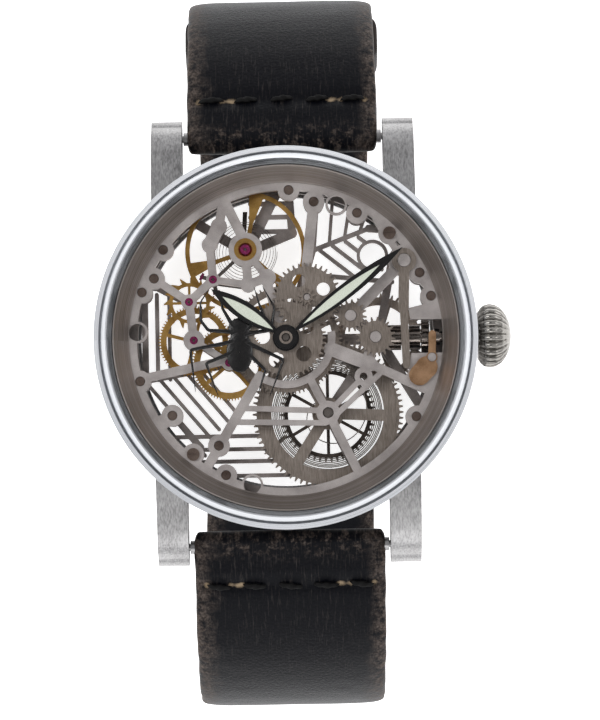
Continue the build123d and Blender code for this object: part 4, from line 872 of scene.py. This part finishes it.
points, faces, count = [], [], 0
for leg in SPIDER_LEGS:
    points.append(spider_leg(leg))
    faces += list(grid_faces(LEG_ROWS, LEG_COLUMNS, close_columns=True, first=count)[:, ::-1])
    faces.append(list(count + np.arange(LEG_COLUMNS)))
    count += LEG_ROWS * LEG_COLUMNS
for centre, half in SPIDER_BODY:
    points.append(spider_egg(centre, half))
    faces += list(grid_faces(BODY_ROWS, BODY_COLUMNS, close_columns=True, first=count))
    count += BODY_ROWS * BODY_COLUMNS
post = full_turn(POST_COLUMNS)
post_x = POST_PLACE[0] + POST_RADIUS * np.cos(post)
post_y = POST_PLACE[1] + POST_RADIUS * np.sin(post)
points += [np.stack([post_x, post_y, 0 * post + level], -1) for level in (spider_low[2], SPIDER_Z)]
faces += list(grid_faces(2, POST_COLUMNS, close_columns=True, first=count))
points = np.concatenate(points)
make_mesh("spider_ornament", points, faces, black_lacquer, "case", ["spider"])

# %% [markdown]
# ## Stage and light
# A pale table, a white paper disc under the back crystal, three large soft lights and a light
# tent. Such a disc is slipped under an open movement so that light comes up through its
# windows. The tent is bright near the horizon, which whitens every sloping edge of the
# steel, and dim overhead, where the camera looks in.

# %% Stage and lights
TABLE_HALF = 3.0
DISC_RADIUS, DISC_LEVEL = 17.5 * MM, -1.0 * MM


def sheet_of_paper(name, outline, height, glow):
    """A flat white sheet of the stage; its outline (x, y) and its height are in metres."""
    mesh = bpy.data.meshes.new(name)
    corners = np.column_stack([outline, np.full(len(outline), height)])
    mesh.from_pydata(corners.tolist(), [], [list(range(len(outline)))])
    sheet = bpy.data.objects.new(name, mesh)
    bpy.context.collection.objects.link(sheet)
    material, shader = start_material(name, 0.9)
    shader.inputs["Base Color"].default_value = linear("#FFFFFF")
    shader.inputs["Emission Color"].default_value = (1, 1, 1, 1)
    shader.inputs["Emission Strength"].default_value = glow
    mesh.materials.append(material)


square = TABLE_HALF * np.array([(-1, -1), (1, -1), (1, 1), (-1, 1)])
sheet_of_paper("table", square, cad_bounds[0][2], 0.92)
rim = full_turn(96)
sheet_of_paper("bounce_card", DISC_RADIUS * np.column_stack([np.cos(rim), np.sin(rim)]), DISC_LEVEL, 0.9)


def soft_light(name, place, size, power, tilt):
    """A square area light that points where tilt turns it from straight down."""
    lamp = bpy.data.lights.new(name, "AREA")
    lamp.shape = "SQUARE"
    lamp.size = size
    lamp.energy = power
    holder = bpy.data.objects.new(name, lamp)
    holder.location = place
    holder.rotation_euler = tilt
    bpy.context.collection.objects.link(holder)


soft_light("key", (-0.35, 0.15, 0.55), 0.30, 1.3, (0, np.radians(-32), 0))
soft_light("fill", (0.40, 0.05, 0.50), 0.35, 0.8, (0, np.radians(38), 0))
soft_light("front", (0.0, -0.45, 0.35), 0.35, 0.6, (np.radians(52), 0, 0))
world = bpy.data.worlds.new("studio")
bpy.context.scene.world = world
world.use_nodes = True
sky = world.node_tree.nodes
sky_links = world.node_tree.links
height = sky.new("ShaderNodeSeparateXYZ")
tent = sky.new("ShaderNodeValToRGB")
sky_links.new(sky.new("ShaderNodeTexCoord").outputs["Generated"], height.inputs[0])
sky_links.new(height.outputs["Z"], tent.inputs[0])
sky_links.new(tent.outputs["Color"], sky["Background"].inputs["Color"])
TENT = [(0.0, 0.9), (0.45, 0.85), (0.80, 0.42), (0.97, 0.20)]
while len(tent.color_ramp.elements) < len(TENT):
    tent.color_ramp.elements.new(0.5)
for element, (position, level) in zip(tent.color_ramp.elements, TENT):
    element.position = position
    element.color = (level, level, level * 1.02, 1)
bpy.context.scene.view_settings.view_transform = "Standard"
print("stage and lights ready")
